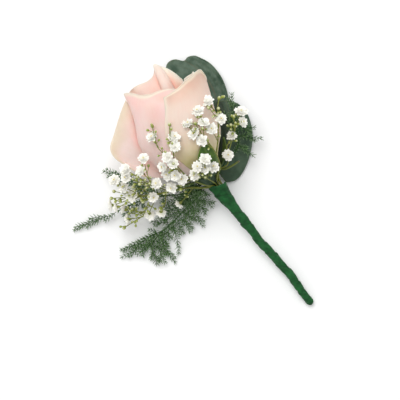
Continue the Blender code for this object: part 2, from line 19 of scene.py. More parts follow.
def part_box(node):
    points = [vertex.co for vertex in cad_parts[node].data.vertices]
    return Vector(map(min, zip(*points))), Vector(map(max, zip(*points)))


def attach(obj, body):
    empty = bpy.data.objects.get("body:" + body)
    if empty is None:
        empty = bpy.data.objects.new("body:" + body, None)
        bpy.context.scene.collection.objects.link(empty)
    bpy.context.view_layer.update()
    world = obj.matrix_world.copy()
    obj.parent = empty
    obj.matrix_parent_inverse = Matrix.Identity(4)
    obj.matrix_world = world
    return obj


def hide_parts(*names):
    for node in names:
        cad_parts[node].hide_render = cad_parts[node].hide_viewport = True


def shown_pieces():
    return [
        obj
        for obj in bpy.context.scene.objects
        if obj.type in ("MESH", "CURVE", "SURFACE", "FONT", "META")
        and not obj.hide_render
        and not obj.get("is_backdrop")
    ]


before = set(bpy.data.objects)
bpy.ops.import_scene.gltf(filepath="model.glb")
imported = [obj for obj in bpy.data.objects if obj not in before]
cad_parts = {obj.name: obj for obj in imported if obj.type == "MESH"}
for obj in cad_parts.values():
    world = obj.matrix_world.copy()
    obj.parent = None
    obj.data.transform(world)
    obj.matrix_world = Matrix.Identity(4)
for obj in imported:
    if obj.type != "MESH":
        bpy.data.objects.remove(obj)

LOG = logging.getLogger("boutonniere")
MM = 0.001
TURN = 2 * pi
UP = (0, 0, 1)
Point = tuple[float, float, float]
Colour = tuple[float, float, float]
Face = tuple[int, ...]
Numbers = tuple[float, ...]
Pairs = tuple[tuple[float, float], ...]
Points = tuple[Point, ...]
Grid = tuple[Points, ...]
Array = np.ndarray
Material, NodeTree, Socket = bpy.types.Material, bpy.types.NodeTree, bpy.types.NodeSocket


# ---- the frame ----

@dataclass(frozen=True)
class Placement:
    """Carries bench millimetres into the frame's metres."""

    step: Vector

    @classmethod
    def from_tape(cls, right: float = 19.95, cut_end: float = -63.4, top: float = 13.15) -> "Placement":
        """Finds the step from where the taped stem's box should be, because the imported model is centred."""
        low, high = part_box("stem_tape")
        return cls(Vector((high[0] - right * MM, low[1] - cut_end * MM, high[2] - top * MM)))

    def carry(self, points: Array) -> Array:
        """Bench points, in millimetres, as frame points, in metres."""
        return points * MM + np.array(self.step)


PLACEMENT = Placement.from_tape()


# ---- sums on points ----

def ease(value: Array | float) -> Array | float:
    """0 to 1 with level ends."""
    value = np.clip(value, 0, 1)
    return value * value * (3 - 2 * value)


def unit(vectors: Array) -> Array:
    """The vectors at length one."""
    size = np.linalg.norm(vectors, axis=-1, keepdims=True)
    return vectors / np.maximum(size, 1e-9)


def shares(count: int) -> Array:
    """Places from 0 to 1, evenly spaced."""
    return np.linspace(0, 1, count)


def spaced(values: Numbers, share: Array) -> Array:
    """Values spread evenly from share 0 to 1, read at the shares wanted."""
    return np.interp(share, shares(len(values)), values)


def spread_grid(rows: int, columns: int) -> tuple[Array, Array]:
    """A grid's share from 0 to 1 up its rows, and from -1 to 1 across its columns."""
    return np.meshgrid(shares(rows), np.linspace(-1, 1, columns), indexing="ij")


def hump(value: Array, width: float) -> Array:
    """1 where the value is 0, falling smoothly to each side."""
    return np.exp(-(value / width) ** 2)


def stepped(table: Pairs, share: Array) -> Array:
    """Values from a table, level at each of its rows.

    Args:
        table: rows of (share, value), with rising shares.
        share: the shares wanted.

    Returns:
        The value at each share.
    """
    share = np.asarray(share, dtype=float)
    out = np.full(share.shape, table[-1][1], dtype=float)
    out[share <= table[0][0]] = table[0][1]
    for (low, first), (high, second) in zip(table, table[1:]):
        inside = (share > low) & (share <= high)
        out[inside] = first + (second - first) * ease((share[inside] - low) / (high - low))
    return out


def flow(knots: Array, values: Array, at: Array) -> Array:
    """A smooth curve through values.

    Args:
        knots: where each value sits, rising; at least three.
        values: one value or row of values for each.
        at: the places wanted.

    Returns:
        The value at each place.
    """
    gap = np.diff(knots).reshape((-1,) + (1,) * (values.ndim - 1))
    slope = np.diff(values, axis=0) / gap
    lean = np.empty_like(values, dtype=float)
    lean[1:-1] = (slope[:-1] * gap[1:] + slope[1:] * gap[:-1]) / (gap[:-1] + gap[1:])
    lean[0] = 1.5 * slope[0] - 0.5 * lean[1]
    lean[-1] = 1.5 * slope[-1] - 0.5 * lean[-2]
    low = np.clip(np.searchsorted(knots, at, side="right") - 1, 0, len(knots) - 2)
    part = ((at - knots[low]) / (knots[low + 1] - knots[low])).reshape((-1,) + (1,) * (values.ndim - 1))
    wide = gap[low]
    square, cube = part * part, part * part * part
    return (values[low] * (2 * cube - 3 * square + 1) + lean[low] * wide * (cube - 2 * square + part)
            + values[low + 1] * (3 * square - 2 * cube) + lean[low + 1] * wide * (cube - square))


def chord_knots(points: Array) -> Array:
    """Knots from 0 to 1 spaced as the points are.

    Args:
        points: a line of points, or a grid of them, averaged across.

    Returns:
        One knot for each point or row.
    """
    step = np.linalg.norm(np.diff(points, axis=0), axis=-1)
    if step.ndim > 1:
        step = step.mean(axis=1)
    run = np.concatenate([[0], np.cumsum(step)])
    return run / run[-1]


def smooth_line(points: list[Array], count: int) -> Array:
    """Evenly shared points on a smooth line through a few points."""
    points = np.asarray(points, dtype=float)
    return flow(chord_knots(points), points, shares(count))


def smooth_sheet(control: Array, rows: int, columns: int, even: bool = False) -> Array:
    """A smooth surface through a grid of control points.

    Args:
        control: rows by columns of points.
        rows: the rows wanted.
        columns: the columns wanted.
        even: whether the control columns share the width evenly.

    Returns:
        rows by columns of points.
    """
    tall = flow(chord_knots(control), control, shares(rows))
    across = np.swapaxes(control, 0, 1)
    knots = shares(len(across)) if even else chord_knots(across)
    return np.swapaxes(flow(knots, np.swapaxes(tall, 0, 1), shares(columns)), 0, 1)


def sheet_normals(grid: Array) -> Array:
    """The normal of a grid at each of its points, to the left of its rows as they rise."""
    return unit(np.cross(np.gradient(grid, axis=1), np.gradient(grid, axis=0)))


def line_frames(line: Array) -> tuple[Array, Array, Array]:
    """Directions at each point of a line, without twist.

    Args:
        line: the line's points.

    Returns:
        Two side directions and the forward direction at each point.
    """
    ahead = unit(np.gradient(line, axis=0))
    side = np.empty_like(ahead)
    start = np.cross(ahead[0], UP)
    if np.linalg.norm(start) < 0.1:
        start = np.cross(ahead[0], (1, 0, 0))
    side[0] = unit(start)
    for i in range(1, len(line)):
        side[i] = unit(side[i - 1] - ahead[i] * np.dot(side[i - 1], ahead[i]))
    return side, np.cross(ahead, side), ahead


def facing_frame(ahead: Array, spin: float) -> Array:
    """A turn whose third direction is ahead, spun about it, as columns of a matrix."""
    return np.array(Vector(ahead).to_track_quat("Z", "Y").to_matrix() @ Matrix.Rotation(spin, 3, "Z"))


# ---- bodies ----

class Mask(Enum):
    """What a piece's points carry for its finish."""

    RIM = "rim"
    INNER = "inner"
    TONE = "tone"
    # DEEP carries painted shade in the folds of petals and in the tape's creases, and the rib's own colour on
    # leaves and sepals.
    DEEP = "deep"


Masks = dict[Mask, Array]


@dataclass
class Template:
    """A closed shape: its points and faces, its masks, and its points laid flat."""

    points: Array
    faces: list[Face]
    masks: Masks = field(default_factory=dict)
    flat: Array | None = None


def outward(points: Array, faces: list[Face]) -> list[Face]:
    """Closed faces turned so that they all face out.

    Args:
        points: the points of the shape.
        faces: its faces, which all turn the same way.

    Returns:
        The faces, reversed where their volume is negative.
    """
    centred = points - points.mean(axis=0)
    volume = 0
    for face in faces:
        for second, third in zip(face[1:], face[2:]):
            volume += float(np.dot(centred[face[0]], np.cross(centred[second], centred[third])))
    return [tuple(reversed(face)) for face in faces] if volume < 0 else faces


def shell_faces(rows: int, columns: int) -> tuple[list[Face], list[int]]:
    """Faces of a closed thin shell on a grid.

    Args:
        rows: how many rows the grid has.
        columns: how many columns it has.

    Returns:
        The faces of both sides and of the edge, and the grid's border points in order.
    """
    faces: list[Face] = []
    back = rows * columns
    for i in range(rows - 1):
        for corner in range(i * columns, (i + 1) * columns - 1):
            quad = (corner, corner + 1, corner + columns + 1, corner + columns)
            faces += [quad, tuple(back + k for k in reversed(quad))]
    border = list(range(columns)) + [i * columns + columns - 1 for i in range(1, rows)]
    border += list(range(back - 2, back - columns - 1, -1)) + [i * columns for i in range(rows - 2, 0, -1)]
    for k, first in enumerate(border):
        after = (k + 1) % len(border)
        second, one, two = border[after], 2 * back + k, 2 * back + after
        faces += [(first, one, two, second), (one, back + first, back + second, two)]
    return faces, border


def shell_shape(grid: Array, thickness: Array | float, masks: Masks) -> Template:
    """A thin closed shell about a grid, with a rounded edge.

    Args:
        grid: the middle of the shell.
        thickness: its thickness, or one for each grid point.
        masks: values for each grid point.

    Returns:
        The shell, its front on the side of the grid's normals. INNER is 1 on its back.
    """
    rows, columns = grid.shape[:2]
    half = np.broadcast_to(0.5 * np.asarray(thickness, dtype=float), (rows, columns))[..., None]
    lift = sheet_normals(grid) * half
    faces, border = shell_faces(rows, columns)
    row, column = np.array(border) // columns, np.array(border) % columns
    out = unit(grid[row, column] - grid[np.clip(row, 1, rows - 2), np.clip(column, 1, columns - 2)])
    ring = grid[row, column] + out * half[row, column]
    points = np.concatenate([(grid + lift).reshape(-1, 3), (grid - lift).reshape(-1, 3), ring])
    front = np.zeros(rows * columns)
    carried = {Mask.INNER: np.concatenate([front, front + 1, np.full(len(border), 0.5)])}
    for mask, values in masks.items():
        values = np.broadcast_to(values, (rows, columns)).reshape(-1)
        carried[mask] = np.concatenate([values, values, values[border]])
    u, v = np.meshgrid(shares(columns), shares(rows))
    laid = np.stack([u.reshape(-1), v.reshape(-1)], axis=1)
    return Template(points, outward(points, faces), carried, np.concatenate([laid, laid, laid[border]]))


def ring_faces(count: int, sides: int) -> list[Face]:
    """Faces on rings of points, closed by one point at each end.

    Args:
        count: how many rings there are.
        sides: how many points each ring has.

    Returns:
        The faces. The two end points come after all the rings.
    """
    end, last = count * sides, (count - 1) * sides
    faces: list[Face] = []
    for base in range(0, last, sides):
        for j in range(sides):
            k = (j + 1) % sides
            faces.append((base + j, base + k, base + sides + k, base + sides + j))
    for j in range(sides):
        k = (j + 1) % sides
        faces += [(end, k, j), (end + 1, last + j, last + k)]
    return faces


def tube_shape(line: Array, radii: Array, sides: int, tone: float = 0.5) -> Template:
    """A closed round tube along a line.

    Args:
        line: the points of its middle.
        radii: its radius at each point.
        sides: how many sides it has.
        tone: its TONE.

    Returns:
        The tube, closed at both ends.
    """
    side, above, ahead = line_frames(line)
    turn = np.arange(sides) * TURN / sides
    ring = np.cos(turn)[None, :, None] * side[:, None] + np.sin(turn)[None, :, None] * above[:, None]
    points = (line[:, None] + ring * np.asarray(radii)[:, None, None]).reshape(-1, 3)
    ends = np.stack([line[0] - ahead[0] * 0.4 * radii[0], line[-1] + ahead[-1] * 0.4 * radii[-1]])
    points = np.concatenate([points, ends])
    along = np.concatenate([np.repeat(shares(len(line)), sides), [0, 1]])
    round_it = np.concatenate([np.tile(np.arange(sides) / sides, len(line)), [0, 0]])
    return Template(points, outward(points, ring_faces(len(line), sides)),
                    {Mask.TONE: np.full(len(points), tone)}, np.stack([round_it, along], axis=1))


def lathe_shape(profile: list[tuple[float, float]], sides: int, masks: dict[Mask, list[float]]) -> Template:
    """A closed shape turned about the third axis.

    Args:
        profile: (radius, height) from its lower end to its upper, both on the axis.
        sides: how many sides it has.
        masks: one value for each row of the profile.

    Returns:
        The turned shape.
    """
    turn = np.arange(sides) * TURN / sides
    rings = range(1, len(profile) - 1)
    points = [(profile[row][0] * cos(a), profile[row][0] * sin(a), profile[row][1])
              for row in rings for a in turn]
    shape = np.array(points + [(0, 0, profile[0][1]), (0, 0, profile[-1][1])], dtype=float)
    rows = [row for row in rings for _ in turn] + [0, len(profile) - 1]
    carried = {mask: np.array([values[row] for row in rows]) for mask, values in masks.items()}
    return Template(shape, outward(shape, ring_faces(len(rings), sides)), carried)


def place(name: str, data: bpy.types.ID) -> bpy.types.Object:
    """A new object in the scene.

    Args:
        name: its name.
        data: its mesh, lamp or camera.

    Returns:
        The object.
    """
    made = bpy.data.objects.new(name, data)
    bpy.context.scene.collection.objects.link(made)
    return made


@dataclass
class Body:
    """One piece while it is being shaped, in bench millimetres."""

    name: str
    shapes: list[Template] = field(default_factory=list)
    faces: list[Face] = field(default_factory=list)
    finish_of: list[int] = field(default_factory=list)
    count: int = 0

    def add(self, shape: Template, finish: int = 0) -> None:
        """Adds a shape as it lies.

        Args:
            shape: the shape.
            finish: which of the piece's finishes.
        """
        self.faces += [tuple(self.count + k for k in face) for face in shape.faces]
        self.finish_of += [int(finish)] * len(shape.faces)
        self.shapes.append(shape)
        self.count += len(shape.points)

    def set(self, shape: Template, turn: Array, where: Array, size: float | Point,
            tone: float, finish: int = 0) -> None:
        """Adds a shape scaled, turned and moved.

        Args:
            shape: the shape about its own origin.
            turn: its directions, as columns of a matrix.
            where: its place on the bench.
            size: its size, or one for each direction.
            tone: its TONE.
            finish: which of the piece's finishes.
        """
        moved = (shape.points * np.asarray(size)) @ np.asarray(turn).T + np.asarray(where)
        masks = {**shape.masks, Mask.TONE: np.full(len(moved), tone)}
        self.add(Template(moved, shape.faces, masks, shape.flat), finish)

    @classmethod
    def of(cls, name: str, *shapes: Template) -> "Body":
        """A piece of a few shapes in one finish.

        Args:
            name: its name.
            shapes: its shapes, as they lie.

        Returns:
            The piece, still to be built.
        """
        body = cls(name)
        for shape in shapes:
            body.add(shape)
        return body

    def build(self, finishes: list[Material], slot: str, *nodes: str) -> None:
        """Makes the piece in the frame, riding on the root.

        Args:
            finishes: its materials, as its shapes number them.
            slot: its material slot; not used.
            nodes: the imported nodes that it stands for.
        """
        mesh = bpy.data.meshes.new(self.name)
        points = np.concatenate([shape.points for shape in self.shapes])
        mesh.from_pydata(PLACEMENT.carry(points).tolist(), [], self.faces)
        for finish in finishes:
            mesh.materials.append(finish)
        mesh.polygons.foreach_set("material_index", self.finish_of)
        for mask in Mask:
            values = [shape.masks.get(mask, np.zeros(len(shape.points))) for shape in self.shapes]
            layer = mesh.attributes.new(mask.value, "FLOAT", "POINT")
            layer.data.foreach_set("value", np.concatenate(values).astype(np.float32))
        flats = [np.zeros((len(shape.points), 2)) if shape.flat is None else shape.flat
                 for shape in self.shapes]
        corner = np.empty(len(mesh.loops), dtype=np.int32)
        mesh.loops.foreach_get("vertex_index", corner)
        laid = mesh.uv_layers.new(name="laid_flat")
        laid.data.foreach_set("uv", np.concatenate(flats)[corner].astype(np.float32).ravel())
        mesh.shade_smooth()
        piece = place(self.name, mesh)
        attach(piece, "root")
        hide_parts(*nodes)
        LOG.info("%s: %d faces, for %s", self.name, len(self.faces), ", ".join(nodes))


# ---- node work ----

@dataclass
class Board:
    """A node tree, with short calls for the nodes that the finishes use."""

    tree: NodeTree

    def feed(self, socket: Socket, value: object) -> None:
        """Links a socket to another, or sets it.

        Args:
            socket: the input to feed.
            value: another socket, or the value itself.
        """
        if isinstance(value, Socket):
            self.tree.links.new(value, socket)
        elif isinstance(value, tuple) and len(value) == 3 and socket.type == "RGBA":
            socket.default_value = (*value, 1)
        else:
            socket.default_value = value

    def node(self, kind: str, inputs: dict[str | int, object] | None = None,
             **settings: object) -> bpy.types.Node:
        """A new node.

        Args:
            kind: the type of the node.
            inputs: what feeds its sockets, by name or number.
            settings: its settings, by name.

        Returns:
            The node.
        """
        made = self.tree.nodes.new(kind)
        for name, value in settings.items():
            setattr(made, name, value)
        for name, value in (inputs or {}).items():
            self.feed(made.inputs[name], value)
        return made

    def math(self, operation: str, *values: object, clamp: bool = False) -> Socket:
        """One step of arithmetic on one value or two."""
        inputs = dict(enumerate(values))
        return self.node("ShaderNodeMath", inputs, operation=operation, use_clamp=clamp).outputs[0]

    def plus(self, first: object, second: object, clamp: bool = False) -> Socket:
        """The sum of two values."""
        return self.math("ADD", first, second, clamp=clamp)

    def minus(self, first: object, second: object) -> Socket:
        """The first value less the second."""
        return self.math("SUBTRACT", first, second)

    def times(self, first: object, second: object) -> Socket:
        """The product of two values."""
        return self.math("MULTIPLY", first, second)

    def off_middle(self, value: object) -> Socket:
        """How far a value is from a half."""
        return self.math("ABSOLUTE", self.minus(value, 0.5))

    def blend(self, amount: object, first: object, second: object) -> Socket:
        """Two colours mixed by an amount."""
        inputs = {0: amount, 6: first, 7: second}
        return self.node("ShaderNodeMix", inputs, data_type="RGBA", blend_type="MIX").outputs[2]

    def coats(self, colour: object, *coats: tuple[object, object]) -> Socket:
        """Coats of (amount, colour) laid in turn over a first colour.

        Args:
            colour: the first colour.
            coats: how much of each coat there is, and its colour.

        Returns:
            The colour over the surface.
        """
        for amount, over in coats:
            colour = self.blend(amount, colour, over)
        return colour

    def ramp(self, value: object, low: object, high: object, start: float = 0, end: float = 1) -> Socket:
        """A value mapped from its span, low to high, onto start to end, and level at both."""
        inputs = {"Value": value, "From Min": low, "From Max": high, "To Min": start, "To Max": end}
        return self.node("ShaderNodeMapRange", inputs, interpolation_type="SMOOTHSTEP").outputs["Result"]

    def noise(self, scale: object, detail: float = 2, vector: Socket | None = None) -> Socket:
        """Soft noise about 0.5, read in the object's own metres where no vector is given."""
        inputs = {"Vector": vector or self.bench(), "Scale": scale, "Detail": detail, "Roughness": 0.5}
        return self.node("ShaderNodeTexNoise", inputs).outputs["Fac"]

    def bench(self) -> Socket:
        """Places in the object's own metres."""
        return self.node("ShaderNodeTexCoord").outputs["Object"]

    def mask(self, mask: Mask) -> Socket:
        """A mask carried by the piece's points."""
        return self.node("ShaderNodeAttribute", attribute_name=mask.value).outputs["Fac"]

    def laid(self) -> Socket:
        """The piece laid flat: across and along."""
        return self.node("ShaderNodeUVMap", uv_map="laid_flat").outputs["UV"]

    def laid_parts(self) -> tuple[Socket, Socket]:
        """The two parts of the piece laid flat."""
        return tuple(self.node("ShaderNodeSeparateXYZ", {0: self.laid()}).outputs)[:2]

    def vector(self, first: object, second: object, third: object = 0) -> Socket:
        """A vector from three parts."""
        return self.node("ShaderNodeCombineXYZ", {0: first, 1: second, 2: third}).outputs[0]

    def effect(self, effect: "Effect", **values: object) -> Socket:
        """Places a shared effect, with its inputs by their names in small letters."""
        inputs = {name.capitalize(): value for name, value in values.items()}
        return self.node("ShaderNodeGroup", inputs, node_tree=effect_tree(effect)).outputs[0]


Given = bpy.types.NodeOutputs


class Effect(Enum):
    """The shared effects, each a node group that is built once."""

    BLOTCHES = "soft_blotches"
    FAN_VEINS = "fan_veins"
    NET_VEINS = "net_veins"
    GRAIN = "skin_grain"


def blotches(board: Board, given: Given) -> Socket:
    """Large soft patches, as in the colour of petals and leaves; their Scale is per metre."""
    low, high = board.minus(0.5, given["Sharpness"]), board.plus(0.5, given["Sharpness"])
    return board.ramp(board.noise(given["Scale"], 3), low, high)


def fan_veins(board: Board, given: Given) -> Socket:
    """Fine veins that run up a petal and fan out, from the piece laid flat.

    Args:
        board: the group's board.
        given: its inputs.

    Returns:
        The veins, from 0 to 1.
    """
    across, along = board.laid_parts()
    drift = board.noise(5, 3, board.vector(across, board.times(along, 0.5)))
    shifted = board.plus(across, board.times(board.minus(drift, 0.5), given["Waver"]))
    crest = board.off_middle(board.math("FRACT", board.times(shifted, given["Count"])))
    broken = board.noise(9, 4, board.vector(board.times(across, 6), along))
    return board.times(board.ramp(crest, 0.34, 0.5), board.ramp(broken, 0.3, 0.65))


def net_veins(board: Board, given: Given) -> Socket:
    """The side veins of a broad leaf, which lean to its tip.

    Args:
        board: the group's board.
        given: its inputs.

    Returns:
        The veins, from 0 to 1.
    """
    across, along = board.laid_parts()
    side = board.off_middle(across)
    waver = board.times(board.noise(6, 2, board.laid()), 0.06)
    spot = board.minus(board.plus(along, waver), board.times(side, given["Lean"]))
    crest = board.off_middle(board.math("FRACT", board.times(spot, given["Count"])))
    return board.times(board.ramp(crest, 0.44, 0.5), board.ramp(side, 0.5, 0.2))


def skin_grain(board: Board, given: Given) -> Socket:
    """The fine cells of a plant's skin; their Scale is per metre."""
    inputs = {"Vector": board.bench(), "Scale": given["Scale"]}
    return board.node("ShaderNodeTexVoronoi", inputs, feature="F1").outputs["Distance"]


# What makes each effect, and the first values of its inputs.
EFFECTS = {
    Effect.BLOTCHES: (blotches, {"Scale": 150, "Sharpness": 0.2}),
    Effect.FAN_VEINS: (fan_veins, {"Count": 30, "Waver": 0.04}),
    Effect.NET_VEINS: (net_veins, {"Count": 13, "Lean": 0.55}),
    Effect.GRAIN: (skin_grain, {"Scale": 4000}),
}


def effect_tree(effect: Effect) -> NodeTree:
    """The node group of a shared effect, built when it is first asked for.

    Args:
        effect: which one.

    Returns:
        Its node group.
    """
    tree = bpy.data.node_groups.get(effect.value)
    if tree is None:
        tree = bpy.data.node_groups.new(effect.value, "ShaderNodeTree")
        maker, inputs = EFFECTS[effect]
        for name, value in inputs.items():
            socket = tree.interface.new_socket(name, in_out="INPUT", socket_type="NodeSocketFloat")
            socket.default_value = value
        tree.interface.new_socket("Value", in_out="OUTPUT", socket_type="NodeSocketFloat")
        board = Board(tree)
        given = board.node("NodeGroupInput").outputs
        board.feed(board.node("NodeGroupOutput").inputs[0], maker(board, given))
    return tree


@dataclass(frozen=True)
class Finish:
    """What every finish has: a name, the numbers of its shader, and the depth of its relief in metres."""

    name: str
    rough: tuple[float, float] = (0.45, 0.6)
    through: float = 0
    through_depth: float = 0.001
    through_tint: Colour = (1, 0.8, 0.72)
    bump: float = 0.2
    relief: float = 0.00012
    gloss: float = 0.4
    metal: float = 0

    def paint(self, board: Board) -> tuple[Socket, Socket]:
        """Lays the finish over the surface.

        Args:
            board: the material's board.

        Returns:
            Its colour and the height of its relief.
        """
        raise NotImplementedError

    def material(self) -> Material:
        """Builds the material: its plain numbers, and what changes over the surface.

        Returns:
            The material.
        """
        material = bpy.data.materials.new(self.name)
        material.use_nodes = True
        board = Board(material.node_tree)
        colour, height = self.paint(board)
        relief = {"Strength": self.bump, "Distance": self.relief, "Height": height}
        inputs = {
            "Subsurface Weight": self.through, "Subsurface Radius": self.through_tint,
            "Subsurface Scale": self.through_depth, "Specular IOR Level": self.gloss, "Metallic": self.metal,
            "Base Color": colour, "Roughness": board.ramp(board.noise(700), 0.3, 0.7, *self.rough),
            "Normal": board.node("ShaderNodeBump", relief).outputs["Normal"]}
        for name, value in inputs.items():
            board.feed(material.node_tree.nodes["Principled BSDF"].inputs[name], value)
        return material


@dataclass(frozen=True)
class PetalFinish(Finish):
    """A rose petal: its colour from foot to crown, its lining, its rim, and painted shade in its folds."""

    through: float = 0.6
    body: Colour = (0.791, 0.602, 0.516)
    foot: Colour = (0.619, 0.568, 0.327)
    crown: Colour = (0.774, 0.636, 0.585)
    lining: Colour = (0.791, 0.671, 0.602)
    rim: Colour = (0.817, 0.748, 0.611)
    # The colour of the painted shade in the folds; the veins take it faintly too, as their own colour.
    crease_shade: Colour = (0.774, 0.361, 0.275)
    foot_end: float = 0.5

    def paint(self, board: Board) -> tuple[Socket, Socket]:
        """Lays the colours in turn from the inmost to the rim and the painted shade in the folds.

        Args:
            board: the material's board.

        Returns:
            Its colour and the height of its relief.
        """
        along = board.laid_parts()[1]
        patches = board.effect(Effect.BLOTCHES, scale=170, sharpness=0.25)
        veins = board.effect(Effect.FAN_VEINS, count=26, waver=0.16)
        colour = board.coats(
            self.foot, (board.ramp(along, 0.05, self.foot_end), self.body),
            (board.ramp(along, 0.62, 0.95), self.crown), (board.mask(Mask.INNER), self.lining),
            (board.times(patches, 0.22), self.rim), (board.times(veins, 0.1), self.crease_shade),
            # The DEEP coat is the painted shade in the folds.
            (board.mask(Mask.RIM), self.rim), (board.mask(Mask.DEEP), self.crease_shade))
        grain = board.effect(Effect.GRAIN, scale=5200)
        return colour, board.plus(board.times(grain, 0.18), board.times(veins, 0.8))


@dataclass(frozen=True)
class LeafFinish(Finish):
    """A leaf or sepal: its main colour, a second colour in patches, its veins, its edge and its back.

    The last field says how far its painted shade, in the colour dark, comes in from its first side and from
    its foot.
    """

    body: Colour = (0.052, 0.103, 0.06)
    patch: Colour = (0.086, 0.146, 0.095)
    vein: Colour = (0.103, 0.138, 0.077)
    edge: Colour = (0.12, 0.172, 0.086)
    back: Colour = (0.103, 0.163, 0.112)
    vein_count: float = 13
    # The colour of painted shade, and how far it comes in from the first side and from the foot.
    dark: Colour = (0.01, 0.022, 0.008)
    painted_shade_in: tuple[float, float] = (0, 0)

    def paint(self, board: Board) -> tuple[Socket, Socket]:
        """Lays the colours in turn: patches, back, painted shade, veins, rib and edge.

        Args:
            board: the material's board.

        Returns:
            Its colour and the height of its relief.
        """
        patches = board.effect(Effect.BLOTCHES, scale=220, sharpness=0.16)
        veins = board.effect(Effect.NET_VEINS, count=self.vein_count)
        shade = [(board.ramp(share, 0.5 * reach, 1.2 * reach, 0.85, 0), self.dark)
                 for share, reach in zip(board.laid_parts(), self.painted_shade_in) if reach > 0]
        colour = board.coats(
            self.body, (patches, self.patch), (board.mask(Mask.INNER), self.back), *shade,
            (board.times(veins, 0.4), self.vein), (board.mask(Mask.DEEP), self.vein),
            (board.mask(Mask.RIM), self.edge))
        grain = board.effect(Effect.GRAIN, scale=3600)
        return colour, board.plus(board.times(grain, 0.3), board.times(veins, -0.6))


@dataclass(frozen=True)
class ToneFinish(Finish):
    """A finish that runs between two colours with each part's TONE, and to a third with its RIM."""

    relief: float = 0.00006
    dark: Colour = (0.043, 0.086, 0.034)
    light: Colour = (0.12, 0.206, 0.086)
    tip: Colour = (0.172, 0.258, 0.086)
    scale: float = 900

    def paint(self, board: Board) -> tuple[Socket, Socket]:
        """Lays the two colours by tone and patches, and then the tips.

        Args:
            board: the material's board.

        Returns:
            Its colour and the height of its relief.
        """
        patches = board.effect(Effect.BLOTCHES, scale=self.scale, sharpness=0.2)
        uneven = board.times(board.minus(patches, 0.5), 0.35)
        tone = board.plus(board.mask(Mask.TONE), uneven, clamp=True)
        colour = board.coats(self.dark, (tone, self.light), (board.mask(Mask.RIM), self.tip))
        return colour, board.effect(Effect.GRAIN, scale=5000)


@dataclass(frozen=True)
class TapeFinish(Finish):
    """Waxed crepe tape: fine wrinkles across its winding, with painted shade where turns overlap and inside
    its mouth.
    """

    relief: float = 0.00035
    dark: Colour = (0.0012, 0.028, 0.006)
    light: Colour = (0.012, 0.118, 0.026)
    mouth: Colour = (0.06, 0.206, 0.086)

    def paint(self, board: Board) -> tuple[Socket, Socket]:
        """Lays the tape's two greens by wrinkles and patches, then painted shade at its laps and inside its
        mouth, then its mouth's rim.

        Args:
            board: the material's board.

        Returns:
            Its colour and the height of its relief.
        """
        round_it, along = board.laid_parts()
        winding = board.plus(board.times(along, 60), round_it)
        vector = board.vector(board.times(winding, 0.35), board.times(round_it, 0.6), along)
        wrinkle = board.noise(9, 5, vector)
        patches = board.effect(Effect.BLOTCHES, scale=420, sharpness=0.25)
        tone = board.plus(board.times(patches, 0.6), board.times(wrinkle, 0.5), clamp=True)
        # The DEEP coat is painted shade: the dark green in the creases of the laps and inside the mouth.
        colour = board.coats(self.dark, (tone, self.light), (board.mask(Mask.DEEP), self.dark),
                             (board.mask(Mask.RIM), self.mouth))
        return colour, board.plus(board.times(wrinkle, 0.7), board.times(board.noise(3200, 3), 0.5))


@dataclass(frozen=True)
class WireFinish(Finish):
    """Drawn and annealed wire with a thin green coat."""

    relief: float = 0.00003
    metal: float = 0.8
    dark: Colour = (0.07, 0.1, 0.07)
    light: Colour = (0.16, 0.19, 0.15)

    def paint(self, board: Board) -> tuple[Socket, Socket]:
        """Lays the two colours in patches over fine scratches."""
        patches = board.effect(Effect.BLOTCHES, scale=1500, sharpness=0.2)
        return board.blend(patches, self.dark, self.light), board.noise(9000, 3)


# ---- the bloom ----

@dataclass(frozen=True)
class BloomAxes:
    """The bloom's place on the bench: where its petals are seated, its lean and its tilt."""

    base: Point = (15.2, 12.2, 13.2)
    lean: float = 15
    tilt: float = 18

    def level(self) -> tuple[Array, Array]:
        """The bloom's right and its level forward direction."""
        side, ahead = sin(radians(self.lean)), cos(radians(self.lean))
        return np.array((ahead, -side, 0)), np.array((side, ahead, 0))

    def axes(self) -> tuple[Array, Array, Array]:
        """The bloom's directions.

        Returns:
            Its right, its up and along it.
        """
        right, ahead = self.level()
        along = ahead * cos(radians(self.tilt)) + np.array(UP) * sin(radians(self.tilt))
        return right, np.cross(right, along), along

    def plan(self, points: Array) -> Array:
        """Where bench points are, as rows of (right of the axis, level distance along it)."""
        return np.stack([points @ way - np.dot(self.base, way) for way in self.level()], axis=-1)

    def spot(self, points: Array) -> Array:
        """Bench points from rows of (right of the bloom's axis, level distance along it, height)."""
        return points @ np.array((*self.level(), UP)) + np.array((*self.base[:2], 0))

    def round(self, azimuth: Array, radius: Array, height: Array) -> Array:
        """Places points round the bloom's axis.

        Args:
            azimuth: their angles: 0 is the side that faces up, 90 the right side.
            radius: their distances from the axis.
            height: their distances along it.

        Returns:
            The bench points.
        """
        right, up, along = self.axes()
        turn, radius, height = np.radians(azimuth)[..., None], radius[..., None], height[..., None]
        return np.array(self.base) + radius * (np.sin(turn) * right + np.cos(turn) * up) + height * along

    def outward(self, points: Array) -> Array:
        """Directions from the bloom's axis out to the points."""
        along, offset = self.axes()[2], points - np.array(self.base)
        return unit(offset - (offset @ along)[..., None] * along)


AXES = BloomAxes()


